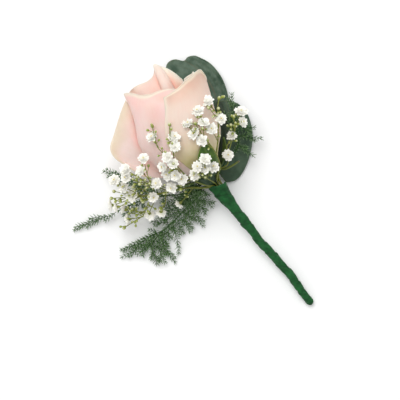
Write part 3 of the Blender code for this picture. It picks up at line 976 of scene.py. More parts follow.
def rolled(grid: Array, widths: Array, turn: float, steps: int = 9,
           flat: float = 0.42) -> Array:
    """A sheet whose last row is carried on into a roll that turns away from the bloom's axis.

    Args:
        grid: rows by columns of points.
        widths: the roll's width at each column.
        turn: how far it turns, in degrees.
        steps: how many rows it has.
        flat: how high it stands for its width.

    Returns:
        The grid with the roll's rows added.
    """
    ahead = unit(grid[-1] - grid[-3])
    normal = sheet_normals(grid)[-1]
    normal = normal * np.sign(np.sum(normal * AXES.outward(grid[-1]), axis=-1).mean())
    radius = np.asarray(widths)[:, None] / 1.7
    rows = [grid[-1] + radius * (sin(a) * ahead + flat * (1 - cos(a)) * normal)
            for a in np.radians(turn) * np.arange(1, steps + 1) / steps]
    return np.concatenate([grid, np.stack(rows)])


def line_inside(shape: Template, middle: Array) -> None:
    """Puts the INNER side of a shell about a grid towards the bloom's axis."""
    if np.sum(sheet_normals(middle) * AXES.outward(middle), axis=-1).mean() <= 0:
        shape.masks[Mask.INNER] = 1 - shape.masks[Mask.INNER]


def waves(dice: Random, share: Array, counts: tuple[int, ...],
          stretch: float = 1) -> Array:
    """The height of uneven waves at each share of an edge: one wave for each count, times stretch."""
    return sum(dice.uniform(0.3, 1) / k * np.sin(TURN * (k * share * stretch + dice.random()))
               for k in counts)


@dataclass(frozen=True)
class CreaseShade:
    """Painted warm shade in a fold: its middle (right of the axis, along it), its reach and its strength."""

    right: float
    along: float
    reach: float
    stretch: float = 1
    strength: float = 0.5
    slant: float = 0

    def glow(self, plan: Array) -> Array:
        """How strong the painted shade is at each row of (right of the axis, level distance along it)."""
        away = (plan @ (1, 1j) - complex(self.right, self.along)) * np.exp(-1j * radians(self.slant))
        return self.strength * hump(away.real, self.reach) * hump(away.imag, self.reach * self.stretch)


@dataclass
class Petal:
    """One rose petal: a thin shell whose rim rolls outwards.

    roll gives the width of the rolled rim from its first end to its last, and rim_reach how far its
    colour comes in. side_rims says how far that colour comes in from the petal's first and last sides.
    crests are the points of its edge, as (share, height, half width).
    """

    number: int
    finish: PetalFinish
    roll: Numbers = (0.6,)
    turn: float = 165
    rim_reach: Numbers = (2,)
    rim_strength: float = 0.75
    side_rims: tuple[float, float] = (0, 0)
    ripple: float = 0.2
    crests: Points = ()
    crease_shades: tuple[CreaseShade, ...] = ()
    rows: int = 44
    columns: int = 56
    thickness: float = 0.34

    def sheet(self) -> Array:
        """The middle of the petal up to where its rim rolls, as a grid of bench points."""
        raise NotImplementedError

    def shaped(self) -> Array:
        """The middle of the whole petal: rippled near its edge, with its crests and its rolled rim.

        Returns:
            A grid of bench points.
        """
        grid, share = self.sheet(), shares(self.columns)
        dice = Random(100 + self.number)
        wave = waves(dice, share, (1, 2, 3, 5, 8), 1.1)
        near = ease((shares(self.rows) - 0.6) / 0.4)[:, None]
        grid = grid + sheet_normals(grid) * (self.ripple * near * wave[None, :])[..., None]
        ahead = unit(grid[-1] - grid[-3])
        for where, height, width in self.crests:
            crest = height * hump(share - where, width)
            grid[-4:] += ahead * (np.array((0.1, 0.3, 0.6, 1))[:, None] * crest)[..., None]
        grid[-1] += ahead * (0.5 * self.ripple * waves(dice, share, (3, 5, 9, 14)))[:, None]
        return rolled(grid, spaced(self.roll, share) * (1 + 0.12 * wave), self.turn)

    def rim_mask(self, grid: Array, from_edge: Array) -> Array:
        """How much of the rim's colour there is at each point.

        Args:
            grid: the middle of the whole petal.
            from_edge: how far each of its points is from the edge.

        Returns:
            A number from 0 to 1 for each point.
        """
        past = np.maximum(from_edge - from_edge[self.rows - 1], 0)
        rim = self.rim_strength * ease(1 - past / spaced(self.rim_reach, shares(self.columns)))
        rising = np.linspace(-0.3, 1, len(grid))[:, None].clip(0)
        for reach, side in zip(self.side_rims, (0, -1)):
            if reach > 0:
                gap = np.linalg.norm(grid - grid[:, side][:, None], axis=-1)
                rim = np.maximum(rim, 0.8 * ease(1.6 - 1.6 * gap / reach) * rising)
        return rim

    def build(self) -> None:
        """Shapes the petal, with its masks."""
        grid = self.shaped()
        steps = np.linalg.norm(np.diff(grid[::-1], axis=0), axis=-1)
        from_edge = np.concatenate([np.cumsum(steps, axis=0)[::-1], np.zeros((1, self.columns))])
        # DEEP carries the painted shade of the petal's folds.
        glows = [crease_shade.glow(AXES.plan(grid)) for crease_shade in self.crease_shades]
        masks = {Mask.RIM: self.rim_mask(grid, from_edge),
                 Mask.DEEP: np.max([np.zeros(grid.shape[:2]), *glows], axis=0)}
        shape = shell_shape(grid, self.thickness * (0.55 + 0.45 * ease(from_edge / 4)), masks)
        line_inside(shape, grid[: self.rows])
        name = f"petal_{self.number:02d}"
        Body.of(name, shape).build([self.finish.material()], "blush_petal", f"rose_{name}")


@dataclass
class SculptedPetal(Petal):
    """A petal through control points (right of the axis, level distance along it, height)."""

    control: Grid = ()

    def sheet(self) -> Array:
        """The surface through the control points."""
        return smooth_sheet(AXES.spot(np.array(self.control, dtype=float)), self.rows, self.columns)


@dataclass(frozen=True)
class Wrap:
    """How a petal wraps the bud, round the bloom's axis.

    spread is half of its widest spread. foot, belly and rim are its distances from the axis on the way
    up to height. drop lowers the rim's ends and point lifts its middle. top is the rim's share of the
    widest spread, and sway moves its tip to the right.
    """

    azimuth: float
    spread: float
    foot: float
    belly: float
    rim: float
    height: float
    drop: float = 4
    top: float = 0.75
    sway: float = 0
    point: float = 1.5


@dataclass
class WrappedPetal(Petal):
    """A petal that wraps the bud."""

    wrap: Wrap | None = None

    def sheet(self) -> Array:
        """The wrapped surface.

        Returns:
            A grid of bench points.
        """
        wrap, (share, side) = self.wrap, spread_grid(self.rows, self.columns)
        rising = np.sin(0.5 * pi * np.minimum(share / 0.55, 1))
        late = np.maximum(share - 0.55, 0) / 0.45
        radius = wrap.foot + (wrap.belly - wrap.foot) * rising ** 0.9 + (wrap.rim - wrap.belly) * ease(late)
        wide = (0.42 + 0.58 * rising) * (1 - (1 - wrap.top) * late * late)
        rim_height = wrap.height - wrap.drop * np.abs(side) ** 2.5 + wrap.point * hump(side, 0.28)
        placed = AXES.round(wrap.azimuth + side * wrap.spread * wide, radius, rim_height * share)
        return placed + AXES.axes()[0] * wrap.sway * share[..., None]


Palette = dict[str, Colour]
# PINK's foot is painted light: paler than its body, to lift the lower parts of its petals, which turn away
# from the lamp.
PINK: Palette = dict(body=(0.88, 0.6, 0.568), crown=(0.808, 0.505, 0.46), lining=(0.8, 0.654, 0.602),
                     foot=(0.96, 0.655, 0.615))
# PEACH's crown is painted shade: dark tan where the front right petal's top turns away from the light.
PEACH: Palette = dict(body=(0.86, 0.632, 0.545), crown=(0.545, 0.375, 0.28), lining=(0.8, 0.688, 0.602),
                      foot=(0.43, 0.41, 0.11))
CREAM: Palette = dict(crown=(0.774, 0.679, 0.593), lining=(0.783, 0.679, 0.585), foot=(0.473, 0.473, 0.189))

# The control points of the sculpted petals, row by row from the foot to the rim.
LEFT_FOLD = (
    ((-3, 14, 6), (-8, 14.5, 8.5), (-11.4, 15, 14), (-11.6, 16, 21), (-9, 17, 26.5), (-5.8, 17.5, 29),
     (-2.6, 18, 30), (0.4, 18, 30)),
    ((-4, 28, 9.5), (-9.5, 28.5, 13), (-13, 29, 19), (-13.2, 30, 26), (-10.6, 31, 31.5), (-7, 31.4, 34),
     (-3.4, 31.6, 35), (0, 31.6, 35.2)),
    ((-4.6, 36, 12), (-10.5, 37, 16), (-14.2, 38, 22.5), (-14.2, 39.5, 29.5), (-11, 39.8, 33.9),
     (-7.2, 40, 35.6), (-3.6, 40.2, 36), (-0.6, 40.4, 35.8)),
    ((-5, 39.5, 13.4), (-11.2, 41, 17.6), (-15.2, 43, 24.6), (-14.8, 44.6, 31.2), (-11, 44, 33.8),
     (-7, 44, 34.6), (-3.4, 45, 34.8), (-0.8, 46, 34.4)),
    ((-5.2, 41.5, 14.2), (-11.6, 43, 18.6), (-15.6, 44.6, 26), (-14.2, 46.2, 33), (-10.6, 46.6, 33.4),
     (-6.2, 46.6, 33.6), (-3.2, 47.8, 33.4), (-1.5, 50.4, 32.6)),
)
MIDDLE_FOLD = (
    ((-3.6, 20, 29), (-2.9, 20.5, 30.6), (-1.6, 21, 31.6), (0, 21, 32), (1.8, 21, 31.6), (3, 20.5, 30.4),
     (3.6, 20, 28.8)),
    ((-3.2, 33, 34.2), (-2.8, 33.5, 35.6), (-1.6, 34, 36.5), (0.2, 34, 36.9), (1.9, 34, 36.5),
     (3.1, 33.5, 35.4), (3.5, 33, 34)),
    ((-2.6, 40.5, 34.8), (-2.3, 40.8, 36.4), (-1.3, 41, 37.2), (0.2, 41, 37.5), (1.6, 41, 37.2),
     (2.6, 40.6, 36.3), (2.8, 40, 34.6)),
    ((-2.3, 44.4, 34.2), (-2.1, 44.6, 35.6), (-1.2, 45, 36.4), (0.1, 45, 36.7), (1.4, 45, 36.4),
     (2.3, 44.6, 35.6), (2.4, 44, 34.2)),
    ((-2, 47.6, 33.3), (-1.8, 48, 34.4), (-1.1, 48.4, 35.1), (-0.1, 48.6, 35.4), (1, 48.4, 35.1),
     (1.9, 47.8, 34.4), (2.1, 47.2, 33.2)),
    ((-1.6, 50, 32.4), (-1.5, 50.9, 33), (-1.2, 51.8, 33.3), (-0.6, 52.1, 33.4), (0.3, 51.6, 33.3),
     (1.1, 50.8, 33), (1.6, 49.6, 32.3)),
)
RIGHT_FOLD = (
    ((-0.6, 18, 30), (2.4, 18, 29.8), (5.2, 18, 28.4), (7.4, 17.5, 25.6), (8.6, 17, 21.5), (8, 16, 16.5),
     (5, 15, 12.5), (0.5, 14.5, 11)),
    ((-0.8, 31, 34.8), (2.4, 31, 34.2), (5.4, 31, 32.8), (7.8, 30.6, 30), (9.2, 30, 26), (8.8, 29, 21),
     (6, 28, 16.8), (1, 27.5, 15)),
    ((-0.6, 38, 35.8), (2.6, 38, 34.4), (5, 37.8, 33.8), (7.4, 37.4, 32), (8.8, 36.6, 28.4),
     (8.6, 35.6, 23.6), (6, 34.6, 19.4), (1.2, 34, 17.6)),
    ((-0.2, 43, 35.4), (2.4, 42.6, 34.2), (4.4, 42, 34.2), (6.4, 41, 33.2), (8, 39.8, 30.2),
     (8.2, 38.4, 25.6), (5.8, 37.2, 21.2), (1.4, 36.6, 19.2)),
    ((0.2, 47.6, 34.2), (2.2, 47, 33.6), (3.8, 45.8, 33.8), (5.4, 44, 33), (7.2, 41.6, 30.6),
     (7.9, 39.8, 26.6), (5.8, 38.6, 22.2), (1.6, 38, 20.2)),
    ((0.4, 50.9, 32.6), (1.9, 49.9, 32.8), (3.6, 48.2, 33), (5.4, 45.6, 32.4), (7, 42.6, 30.6),
     (7.6, 40.8, 27), (5.6, 39.8, 22.8), (1.6, 39.4, 20.8)),
)
FRONT_LEFT = (
    ((-3.5, 0, 9.5), (-5.6, 0.6, 12), (-5.6, 1.2, 14.5), (-4.8, 1.6, 16.6), (-3.4, 1.8, 18.2),
     (-1.6, 2, 19), (0.6, 2, 19.2), (2.8, 2, 18.8)),
    ((-10.5, 4.5, 9.4), (-14.2, 5.5, 15), (-14.2, 6.5, 21), (-12.2, 7.2, 25.4), (-9, 7.8, 28.6),
     (-5, 8.2, 30.4), (-0.6, 8.4, 31.2), (4, 8.4, 30.8)),
    ((-14, 12.5, 12), (-18.8, 14, 18.4), (-18.6, 15.5, 25.6), (-15.8, 16.4, 30.6), (-11.6, 17, 34),
     (-6.6, 17.4, 36), (-1.2, 17.6, 36.8), (4.4, 17.6, 36.2)),
    ((-16, 21.5, 16.6), (-21, 23, 22.8), (-20, 24.6, 29.6), (-16.4, 25.6, 34.2), (-12, 26.2, 37.2),
     (-7, 26.6, 38.9), (-1.4, 26.8, 39.6), (4.4, 26.8, 39)),
    ((-15.6, 30, 22), (-18.9, 32, 27.2), (-18.2, 33.4, 32.6), (-15.4, 34, 36.3), (-11.2, 34.2, 38.8),
     (-6.6, 34, 40.2), (-1.4, 33.6, 40.6), (4, 33.4, 40)),
    ((-16, 34.6, 24.8), (-18.2, 39.4, 30.8), (-17, 39.6, 34.8), (-14.2, 38.6, 37.2), (-10.2, 37.6, 39),
     (-5.8, 37.2, 39.9), (-1, 37, 40), (3.8, 36.2, 39.6)),
    ((-16.8, 38, 27.2), (-18, 45.4, 34), (-15.3, 44.4, 36), (-12.2, 41.5, 37.6), (-8.4, 40, 38.8),
     (-4.4, 40, 39.2), (-0.4, 39.6, 39.2), (3.4, 38.3, 38.8)),
)
FRONT_RIGHT = (
    ((-2.6, 1.6, 19.4), (-1, 1.8, 19.7), (1.2, 1.8, 19.7), (3.2, 1.6, 19), (4.8, 1.2, 17.4),
     (6, 0.6, 14.6), (5.8, 0, 12), (4, -0.4, 9.6)),
    ((-6.4, 7, 29.9), (-3, 7.6, 31.6), (1.2, 7.8, 32.2), (5, 7.4, 30.6), (7.8, 7, 26.4), (8.8, 6.6, 21),
     (8.4, 5.6, 16), (6, 4, 11.4)),
    ((-9.8, 16.6, 35), (-5.4, 17, 37.4), (0.2, 17.4, 38.4), (5.6, 17.2, 37.4), (10.4, 16.8, 33.8),
     (13.4, 16.4, 28), (13.7, 15, 21), (11, 12.6, 14)),
    ((-8, 24.4, 38.8), (-3.6, 25.2, 40.5), (1.6, 25.8, 41.2), (6.8, 25.8, 40.2), (11.4, 25.4, 36.8),
     (14.6, 24.8, 30.6), (15, 23.4, 23.6), (12.4, 21, 16)),
    ((-4.4, 32, 40.6), (-0.6, 32.2, 41.9), (3.8, 32.6, 42.2), (8.4, 32.8, 41), (12.6, 32.6, 37.8),
     (15.8, 32.2, 32), (16.2, 31, 25.4), (14, 28.6, 17.6)),
    ((-3.1, 36.8, 40.4), (0.6, 36.9, 41.6), (4.6, 37.4, 41.8), (8.6, 38.8, 41), (11.8, 39.8, 39.4),
     (15.3, 41.9, 36.8), (17, 38, 31), (15.4, 34, 21.5)),
)
# The opened petal goes column by column, each from the foot to the rim.
OPENED = (
    ((-4.6, 1.4, 11.5), (-12.5, 12, 11.4), (-16.4, 25, 18.6), (-17.2, 33.8, 25), (-17.6, 39.2, 29.2),
     (-18.4, 42.8, 31.4)),
    ((-4.8, 1, 11), (-13.6, 11.2, 11), (-20.2, 21.8, 20.8), (-21.4, 30, 26), (-22.4, 35.2, 28.4),
     (-23.2, 38.2, 28.6)),
    ((-4.9, 0.7, 10.7), (-14.4, 10, 11), (-21.6, 19.4, 19.4), (-25.4, 26, 23.2), (-27.8, 30.3, 24.8),
     (-28.6, 32, 25)),
    ((-4.9, 0.4, 10.4), (-14.8, 8.7, 10), (-22, 16.4, 16.6), (-27.7, 21.8, 20.8), (-31.4, 25.4, 23.3),
     (-32.9, 26.4, 24.2)),
    ((-4.8, 0.1, 10.1), (-14.8, 7.2, 9.5), (-21.8, 13.2, 14.6), (-27.2, 17.2, 18), (-30.8, 20.1, 21),
     (-32.2, 21.3, 22.6)),
    ((-4.6, -0.3, 9.8), (-14.2, 5.6, 9), (-20.2, 10, 13.2), (-25, 12.9, 16.4), (-27.8, 15, 18.8),
     (-29.1, 16.1, 20.2)),
    ((-4.3, -0.7, 9.5), (-12.4, 3.6, 8.4), (-17.4, 6.2, 11.2), (-21, 7.8, 13.8), (-23.3, 9.1, 15.6),
     (-24.6, 9.7, 16.8)),
)


def bud_petals() -> list[Petal]:
    """The folds of the bud that show in the middle of the bloom."""
    left = {**PINK, "body": (0.79, 0.56, 0.51), "crown": (0.7, 0.5, 0.43)}
    # The spots listed last in each petal paint warm shade into its folds.
    return [
        SculptedPetal(
            8, PetalFinish("petal_left_fold", **left), control=LEFT_FOLD, turn=110,
            roll=(0.5, 0.6, 0.6, 0.7, 0.6, 0.5, 0.3, 0.2), rim_reach=(0.8,), rim_strength=0.3,
            crease_shades=(CreaseShade(-2, 43, 1.6, 3.2, 0.8), CreaseShade(-5, 41, 3, 1.2, 0.3))),
        SculptedPetal(
            4, PetalFinish("petal_middle_fold", body=(0.826, 0.585, 0.516), **CREAM), control=MIDDLE_FOLD,
            roll=(0.1, 0.2, 0.3, 0.3, 0.1), turn=70, ripple=0.06, rim_strength=0.3,
            crease_shades=(CreaseShade(1.8, 40.6, 1.2, 1.8, 0.35), CreaseShade(-2.4, 44, 0.9, 5, 0.6))),
        SculptedPetal(
            3, PetalFinish("petal_right_fold", body=(0.791, 0.619, 0.516), **CREAM), control=RIGHT_FOLD,
            roll=(0.2, 0.3, 0.5, 0.6, 0.7, 0.6, 0.5, 0.4), turn=120, ripple=0.1,
            crease_shades=(CreaseShade(2.9, 40.5, 1.5, 2.6, 0.9), CreaseShade(4, 38.5, 2.4, 1.4, 0.6))),
    ]


def outer_petals() -> list[Petal]:
    """The three large petals that make the face of the bloom."""
    opened = PetalFinish("petal_opened", body=(0.817, 0.619, 0.568), lining=(0.865, 0.695, 0.668),
                         foot=(0.8, 0.69, 0.51), rim=(0.64, 0.555, 0.4), crease_shade=(0.8, 0.42, 0.38))
    # The spots listed last in each petal paint warm shade into its folds.
    return [
        SculptedPetal(
            10, PetalFinish("petal_front_left", foot_end=0.62, **PINK), control=FRONT_LEFT, turn=106,
            roll=(0.4, 0.3, 0.9, 1.7, 2, 1.3, 0.3, 0.15), crests=((0.14, 0.8, 0.06),), rows=52, columns=68,
            rim_reach=(0.5, 0.6, 1, 1.2, 1.2, 0.8, 0.2, 0.2),
            crease_shades=(CreaseShade(-9.4, 32, 3.4, 1.5, 0.26, -14), CreaseShade(-3.6, 37.4, 3, 0.8, 0.3))),
        SculptedPetal(
            11, PetalFinish("petal_front_right", foot_end=0.55, **PEACH), control=FRONT_RIGHT, turn=114,
            roll=(0.3, 1.2, 1.8, 1.9, 1.4, 1.9, 0.4, 0.3), rim_reach=(0.6,), side_rims=(2, 1.2),
            crests=((0.725, 0.9, 0.035), (0.61, -0.8, 0.05)), rows=52, columns=68,
            crease_shades=(CreaseShade(2, 35, 6, 0.35, 0.22), CreaseShade(9, 37.5, 4, 0.6, 0.2))),
        SculptedPetal(
            13, opened, control=tuple(zip(*OPENED)), turn=100, roll=(0.6, 0.9, 1, 1, 0.9, 0.8, 0.6),
            rim_reach=(9, 9, 8, 6, 2.5, 1.2, 1), rim_strength=0.7, side_rims=(2, 0),
            rows=52, columns=60,
            crease_shades=(CreaseShade(-20.5, 23, 2.4, 3, 0.6, 8), CreaseShade(-19, 33, 1.6, 3, 0.2),
                     CreaseShade(-21, 17.5, 2.4, 2, 0.5))),
    ]


# The petals inside the bloom and under it: number, width of the roll, then the sizes of the wrap.
INSIDE = (
    (1, 0.2, 200, 118, 0.8, 2.2, 1.4, 45, 5, 0.9, 1.2),
    (2, 0.2, -30, 112, 1.4, 3.3, 2.4, 47, 6, 0.8, 1.2),
    (5, 0.4, 170, 78, 3.2, 8.4, 9, 42, 4, 0.75, 1.5),
    (6, 0.5, 75, 62, 3.2, 10.2, 11, 39),
    (7, 0.5, -75, 56, 3.2, 10.6, 11.2, 38),
    (9, 0.6, 100, 46, 3.85, 13.4, 13.6, 42.5, 2, 0.9),
    (12, 0.8, 150, 34, 3.6, 13.8, 14.6, 35),
)
UNDER = (
    (14, 1.4, -164, 38, 4.5, 16.2, 17.6, 36),
    (15, 1.2, 150, 36, 4.5, 16.4, 17, 35.5),
    (16, 1.3, 180, 37, 5.15, 19.4, 20.4, 33),
)


def wrapped_petals() -> list[Petal]:
    """The small petals inside the bloom and the broad ones under it.

    Returns:
        The petals.
    """
    inside = PetalFinish("petal_inside", crown=(0.791, 0.636, 0.55))
    under = PetalFinish("petal_under", body=(0.757, 0.636, 0.516), crown=(0.774, 0.654, 0.568),
                        foot=(0.516, 0.516, 0.241), foot_end=0.7)
    small = [WrappedPetal(number, inside, (roll,), 90, rows=32, columns=44, wrap=Wrap(*sizes))
             for number, roll, *sizes in INSIDE]
    broad = [WrappedPetal(number, under, (roll,), 150, wrap=Wrap(*sizes)) for number, roll, *sizes in UNDER]
    return small + broad


@dataclass(frozen=True)
class Sepal:
    """A pointed green sepal on the rim of the hip.

    It leaves the bloom's axis at the angle lift and ends at the angle fall, hollow towards the bloom.
    """

    number: int
    azimuth: float
    length: float
    width: float
    lift: float
    fall: float
    hollow: float = 12
    seat: float = 6.3
    rows: int = 40
    columns: int = 15

    def sheet(self) -> Array:
        """The middle of the sepal.

        Returns:
            A grid of bench points.
        """
        right, up, along = AXES.axes()
        turn = radians(self.azimuth)
        out = sin(turn) * right + cos(turn) * up
        sideways = cos(turn) * right - sin(turn) * up
        share = shares(self.rows)
        angle = np.radians(self.lift + (self.fall - self.lift) * share)[:, None]
        step = (out * np.sin(angle) + along * np.cos(angle)) * self.length / (self.rows - 1)
        middle = np.array(AXES.base) + out * self.seat - along * 0.5 + np.cumsum(step, axis=0) - step
        face = along * np.sin(angle) - out * np.cos(angle)
        widen = 0.5 + 0.5 * np.sin(0.5 * pi * np.minimum(share / 0.6, 1))
        widen *= np.sqrt(1 - 0.985 * (np.maximum(share - 0.6, 0) / 0.4) ** 1.6)
        widen *= 1 + 0.05 * np.sin(share * 31 + self.number)
        across = np.linspace(-1, 1, self.columns)
        bend = (0.5 * across[None, :, None] * (self.width * widen)[:, None, None]) / self.hollow
        keel = 0.25 * hump(across, 0.16)[None, :, None]
        return (middle[:, None] + sideways * self.hollow * np.sin(bend)
                + face[:, None] * (self.hollow * (1 - np.cos(bend)) - keel))

    def build(self, finish: Material) -> None:
        """Shapes the sepal: a pale edge and rib.

        Args:
            finish: its material.
        """
        grid = self.sheet()
        side = np.abs(np.linspace(-1, 1, self.columns))[None, :]
        shape = shell_shape(grid, 0.34, {Mask.RIM: 0.7 * ease((side - 0.75) / 0.25),
                                         Mask.DEEP: 0.6 * hump(side, 0.12)})
        line_inside(shape, grid)
        name = f"sepal_{self.number}"
        Body.of(name, shape).build([finish], "sepal_green", f"rose_{name}")


@dataclass(frozen=True)
class RoseBloom:
    """The rose: its hip, sepals and petals."""

    hip_radius: float = 3.4
    seat_radius: float = 5.9
    stub_radius: float = 1.25
    sepals: tuple[Sepal, ...] = (
        Sepal(1, 13, 23.4, 9.4, 62, 4), Sepal(2, -58, 14, 5, 74, 78),
        Sepal(3, 102, 15, 5, 62, 6), Sepal(4, 192, 9, 5, 66, 56),
        Sepal(5, -116, 12, 5, 74, 62))

    def build_hip(self) -> None:
        """The swelling under the petals, with the rose's own short stem."""
        along, base = AXES.axes()[2], np.array(AXES.base)
        throat, seat, mouth = base - 1.5 * along, base - 0.4 * along, STEM.middle(0)
        knots = [STEM.middle(0.1), STEM.middle(0.05), mouth]
        knots += [mouth + (throat - mouth) * share for share in (0.28, 0.46, 0.66, 0.86)] + [throat, seat]
        stub, hip = self.stub_radius, self.hip_radius
        radii = [stub] * 3 + [1.1 * stub, 0.62 * hip, 0.98 * hip, 1.1 * hip, 1.15 * hip, self.seat_radius]
        radii = np.interp(shares(60), chord_knots(np.array(knots)), radii)
        # The hip's two greens are painted dark, as painted shade for the hollow under the petals and florets
        # where it lies.
        skin = ToneFinish("hip_skin", dark=(0.01, 0.036, 0.014), light=(0.034, 0.078, 0.028))
        swelling = tube_shape(smooth_line(knots, 60), radii, 40, 0.45)
        Body.of("hip", swelling).build([skin.material()], "hip_green", "rose_hip")

    def build(self) -> None:
        """Builds every piece of the rose."""
        self.build_hip()
        for petal in bud_petals() + outer_petals() + wrapped_petals():
            petal.build()
        # The sepals' darker green at their feet, near the hip, is painted shade.
        green = LeafFinish(
            "sepal_skin", body=(0.036, 0.095, 0.005), patch=(0.075, 0.15, 0.009), vein=(0.13, 0.21, 0.03),
            edge=(0.12, 0.2, 0.03), back=(0.11, 0.19, 0.05), vein_count=9, dark=(0.008, 0.034, 0.014),
            painted_shade_in=(0, 0.42)).material()
        for sepal in self.sepals:
            sepal.build(green)


# ---- the taped stem ----

@dataclass(frozen=True)
class TapedStem:
    """The stem wound in crepe tape, from its slanted mouth to its rounded tip.

    bends moves its middle sideways and profile gives its radius, both as (share, size) from the mouth.
    """

    tip: Point = (15.7, -63.4, 1.72)
    mouth: Point = (16.2, 5, 9.4)
    length: float = 69
    bends: Pairs = (
        (0, 0), (0.09, -0.25), (0.2, -0.35), (0.34, -0.3), (0.45, -0.55), (0.6, 0.15), (0.76, 0.7),
        (0.9, 0.1), (1, 0))
    profile: Pairs = (
        (0, 3.75), (0.04, 3.6), (0.1, 3.1), (0.17, 2.4), (0.22, 2.15), (0.3, 2.2), (0.36, 1.9),
        (0.46, 1.85), (0.54, 1.85), (0.62, 1.92), (0.7, 1.8), (0.78, 1.85), (0.88, 1.72), (0.95, 1.7))
    wall: float = 0.35
    slant: float = -0.35
    depth: float = 0.12
    tip_start: float = 0.965
    winding: float = 8.2
    lap: float = 0.32
    folds: int = 14
    slots: int = 12
    low_slots: tuple[int, ...] = (5, 6, 7)
    binding_radius: float = 2.45
    flare_radius: float = 4.7
    sides: int = 84

    def middle(self, share: float, across: float = 0, above: float = 0) -> Array:
        """A point in the stem.

        Args:
            share: 0 at its mouth and 1 at its tip.
            across: how far to the right of its middle.
            above: how far above its middle.

        Returns:
            The bench point.
        """
        point = np.array(self.mouth) * (1 - share) + np.array(self.tip) * share
        point[0] += float(stepped(self.bends, np.array(share)))
        return point + np.array((across, 0, above))

    def slot(self, slot: int, share: float) -> Array:
        """The middle of a binding slot: slot 0 is on top of the stem, slot 3 on its right."""
        turn = TURN * slot / self.slots
        return self.middle(share, self.binding_radius * sin(turn), self.binding_radius * cos(turn))

    def flare(self, slot: int) -> Array:
        """Where a sprig passes the rose hip, on a ring square to the hip.

        Args:
            slot: the sprig's slot.

        Returns:
            The bench point.
        """
        turn = TURN * slot / self.slots
        mouth, base = np.array(self.mouth), np.array(AXES.base)
        run = unit(base - mouth)
        across = unit(np.cross(run, UP))
        ring = sin(turn) * across + cos(turn) * np.cross(across, run)
        return mouth + (base - mouth) * 0.56 + self.flare_radius * ring

    def route(self, slot: int, beyond: Points) -> list[Array]:
        """The points of a sprig's stem.

        Args:
            slot: its slot in the tape.
            beyond: its points past the rose hip.

        Returns:
            Points in the tape, past the hip unless the slot is a low one, and beyond.
        """
        bound = [self.slot(slot, 0.065), self.slot(slot, -0.012)]
        flare = [] if slot in self.low_slots else [self.flare(slot)]
        return bound + flare + [np.array(point) for point in beyond]

    def outer(self, share: Array, turn: Array) -> tuple[Array, Array]:
        """Outer radius of the winding and how deep it lies under a lap.

        Args:
            share: places along the stem.
            turn: angles round it.

        Returns:
            The radius and the shade of the lap at each place.
        """
        phase = share * self.length / self.winding + turn / TURN + 0.12 * np.sin(share * 23)
        part = phase - np.floor(phase)
        lap = self.lap * (1 - part) * ease(part / 0.05)
        crease = hump(part - 0.015, 0.035) + hump(part - 1, 0.03)
        dice = Random(7)
        folds = np.zeros(share.shape)
        for _ in range(self.folds):
            round_count, run = dice.choice((1, 2, 3, 4, 5)), dice.uniform(3, 34)
            size = dice.uniform(0.3, 1) / (1 + 0.06 * run)
            folds += size * np.sin(round_count * turn + TURN * run * share + dice.uniform(0, TURN))
        radius = stepped(self.profile, share) + lap - 0.1 + 0.075 * folds
        late = np.clip((share - self.tip_start) / (1 - self.tip_start), 0, 1)
        return radius * np.sqrt(1 - late * late), crease

    def build(self) -> None:
        """Shapes the winding as one closed skin that turns in at its mouth."""
        sides, inside, late = self.sides, np.linspace(self.depth, 0, 10), shares(330)
        rounding = 1 - (1 - late[-14]) * np.cos(np.linspace(0, 0.5 * pi, 20))[:-1]
        along = np.concatenate([inside, late[:-14], rounding])
        turn = np.arange(sides) * TURN / sides
        ragged = 0.25 * np.sin(3 * turn + 1) + 0.15 * np.sin(7 * turn)
        rings, rims, painted_shades = [], [], []
        for number, share in enumerate(along):
            within = number < len(inside)
            radius, crease = self.outer(np.full(sides, share), turn)
            radius = radius - (self.wall if within else 0)
            across, above = radius * np.cos(turn), radius * np.sin(turn)
            ring = self.middle(share)[None, :] + np.stack([across, np.zeros(sides), above], axis=1)
            ring[:, 1] += (self.slant * across + ragged) * (1 - float(ease(share / 0.1)))
            rings.append(ring)
            rims.append(np.full(sides, 0.5 * exp(-share / 0.006)))
            # DEEP here is painted shade: strong inside the mouth, lighter in the crease at each lap's edge.
            painted_shades.append(np.full(sides, 0.8) if within else 0.55 * crease)
        points = np.concatenate([*rings, self.middle(self.depth + 0.005)[None, :], self.middle(1)[None, :]])
        masks = {mask: np.concatenate([*values, np.zeros(2)])
                 for mask, values in ((Mask.RIM, rims), (Mask.DEEP, painted_shades))}
        laid = np.stack([np.append(np.tile(turn / TURN, len(rings)), [0, 0]),
                         np.append(np.repeat(along, sides), [self.depth, 1])], axis=1)
        skin = Template(points, outward(points, ring_faces(len(rings), sides)), masks, laid)
        crepe = TapeFinish("crepe_tape", rough=(0.5, 0.7), bump=0.7, gloss=0.22).material()
        Body.of("tape_winding", skin).build([crepe], "floral_tape", "stem_tape")

    def dress_wire(self) -> None:
        """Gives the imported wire, which runs inside the winding, its drawn and annealed finish."""
        material = WireFinish("drawn_wire", rough=(0.35, 0.55), bump=0.3, gloss=0.5).material()
        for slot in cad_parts["support_wire"].material_slots:
            slot.material = material
        LOG.info("support_wire: new finish")


STEM = TapedStem()


# ---- eucalyptus ----

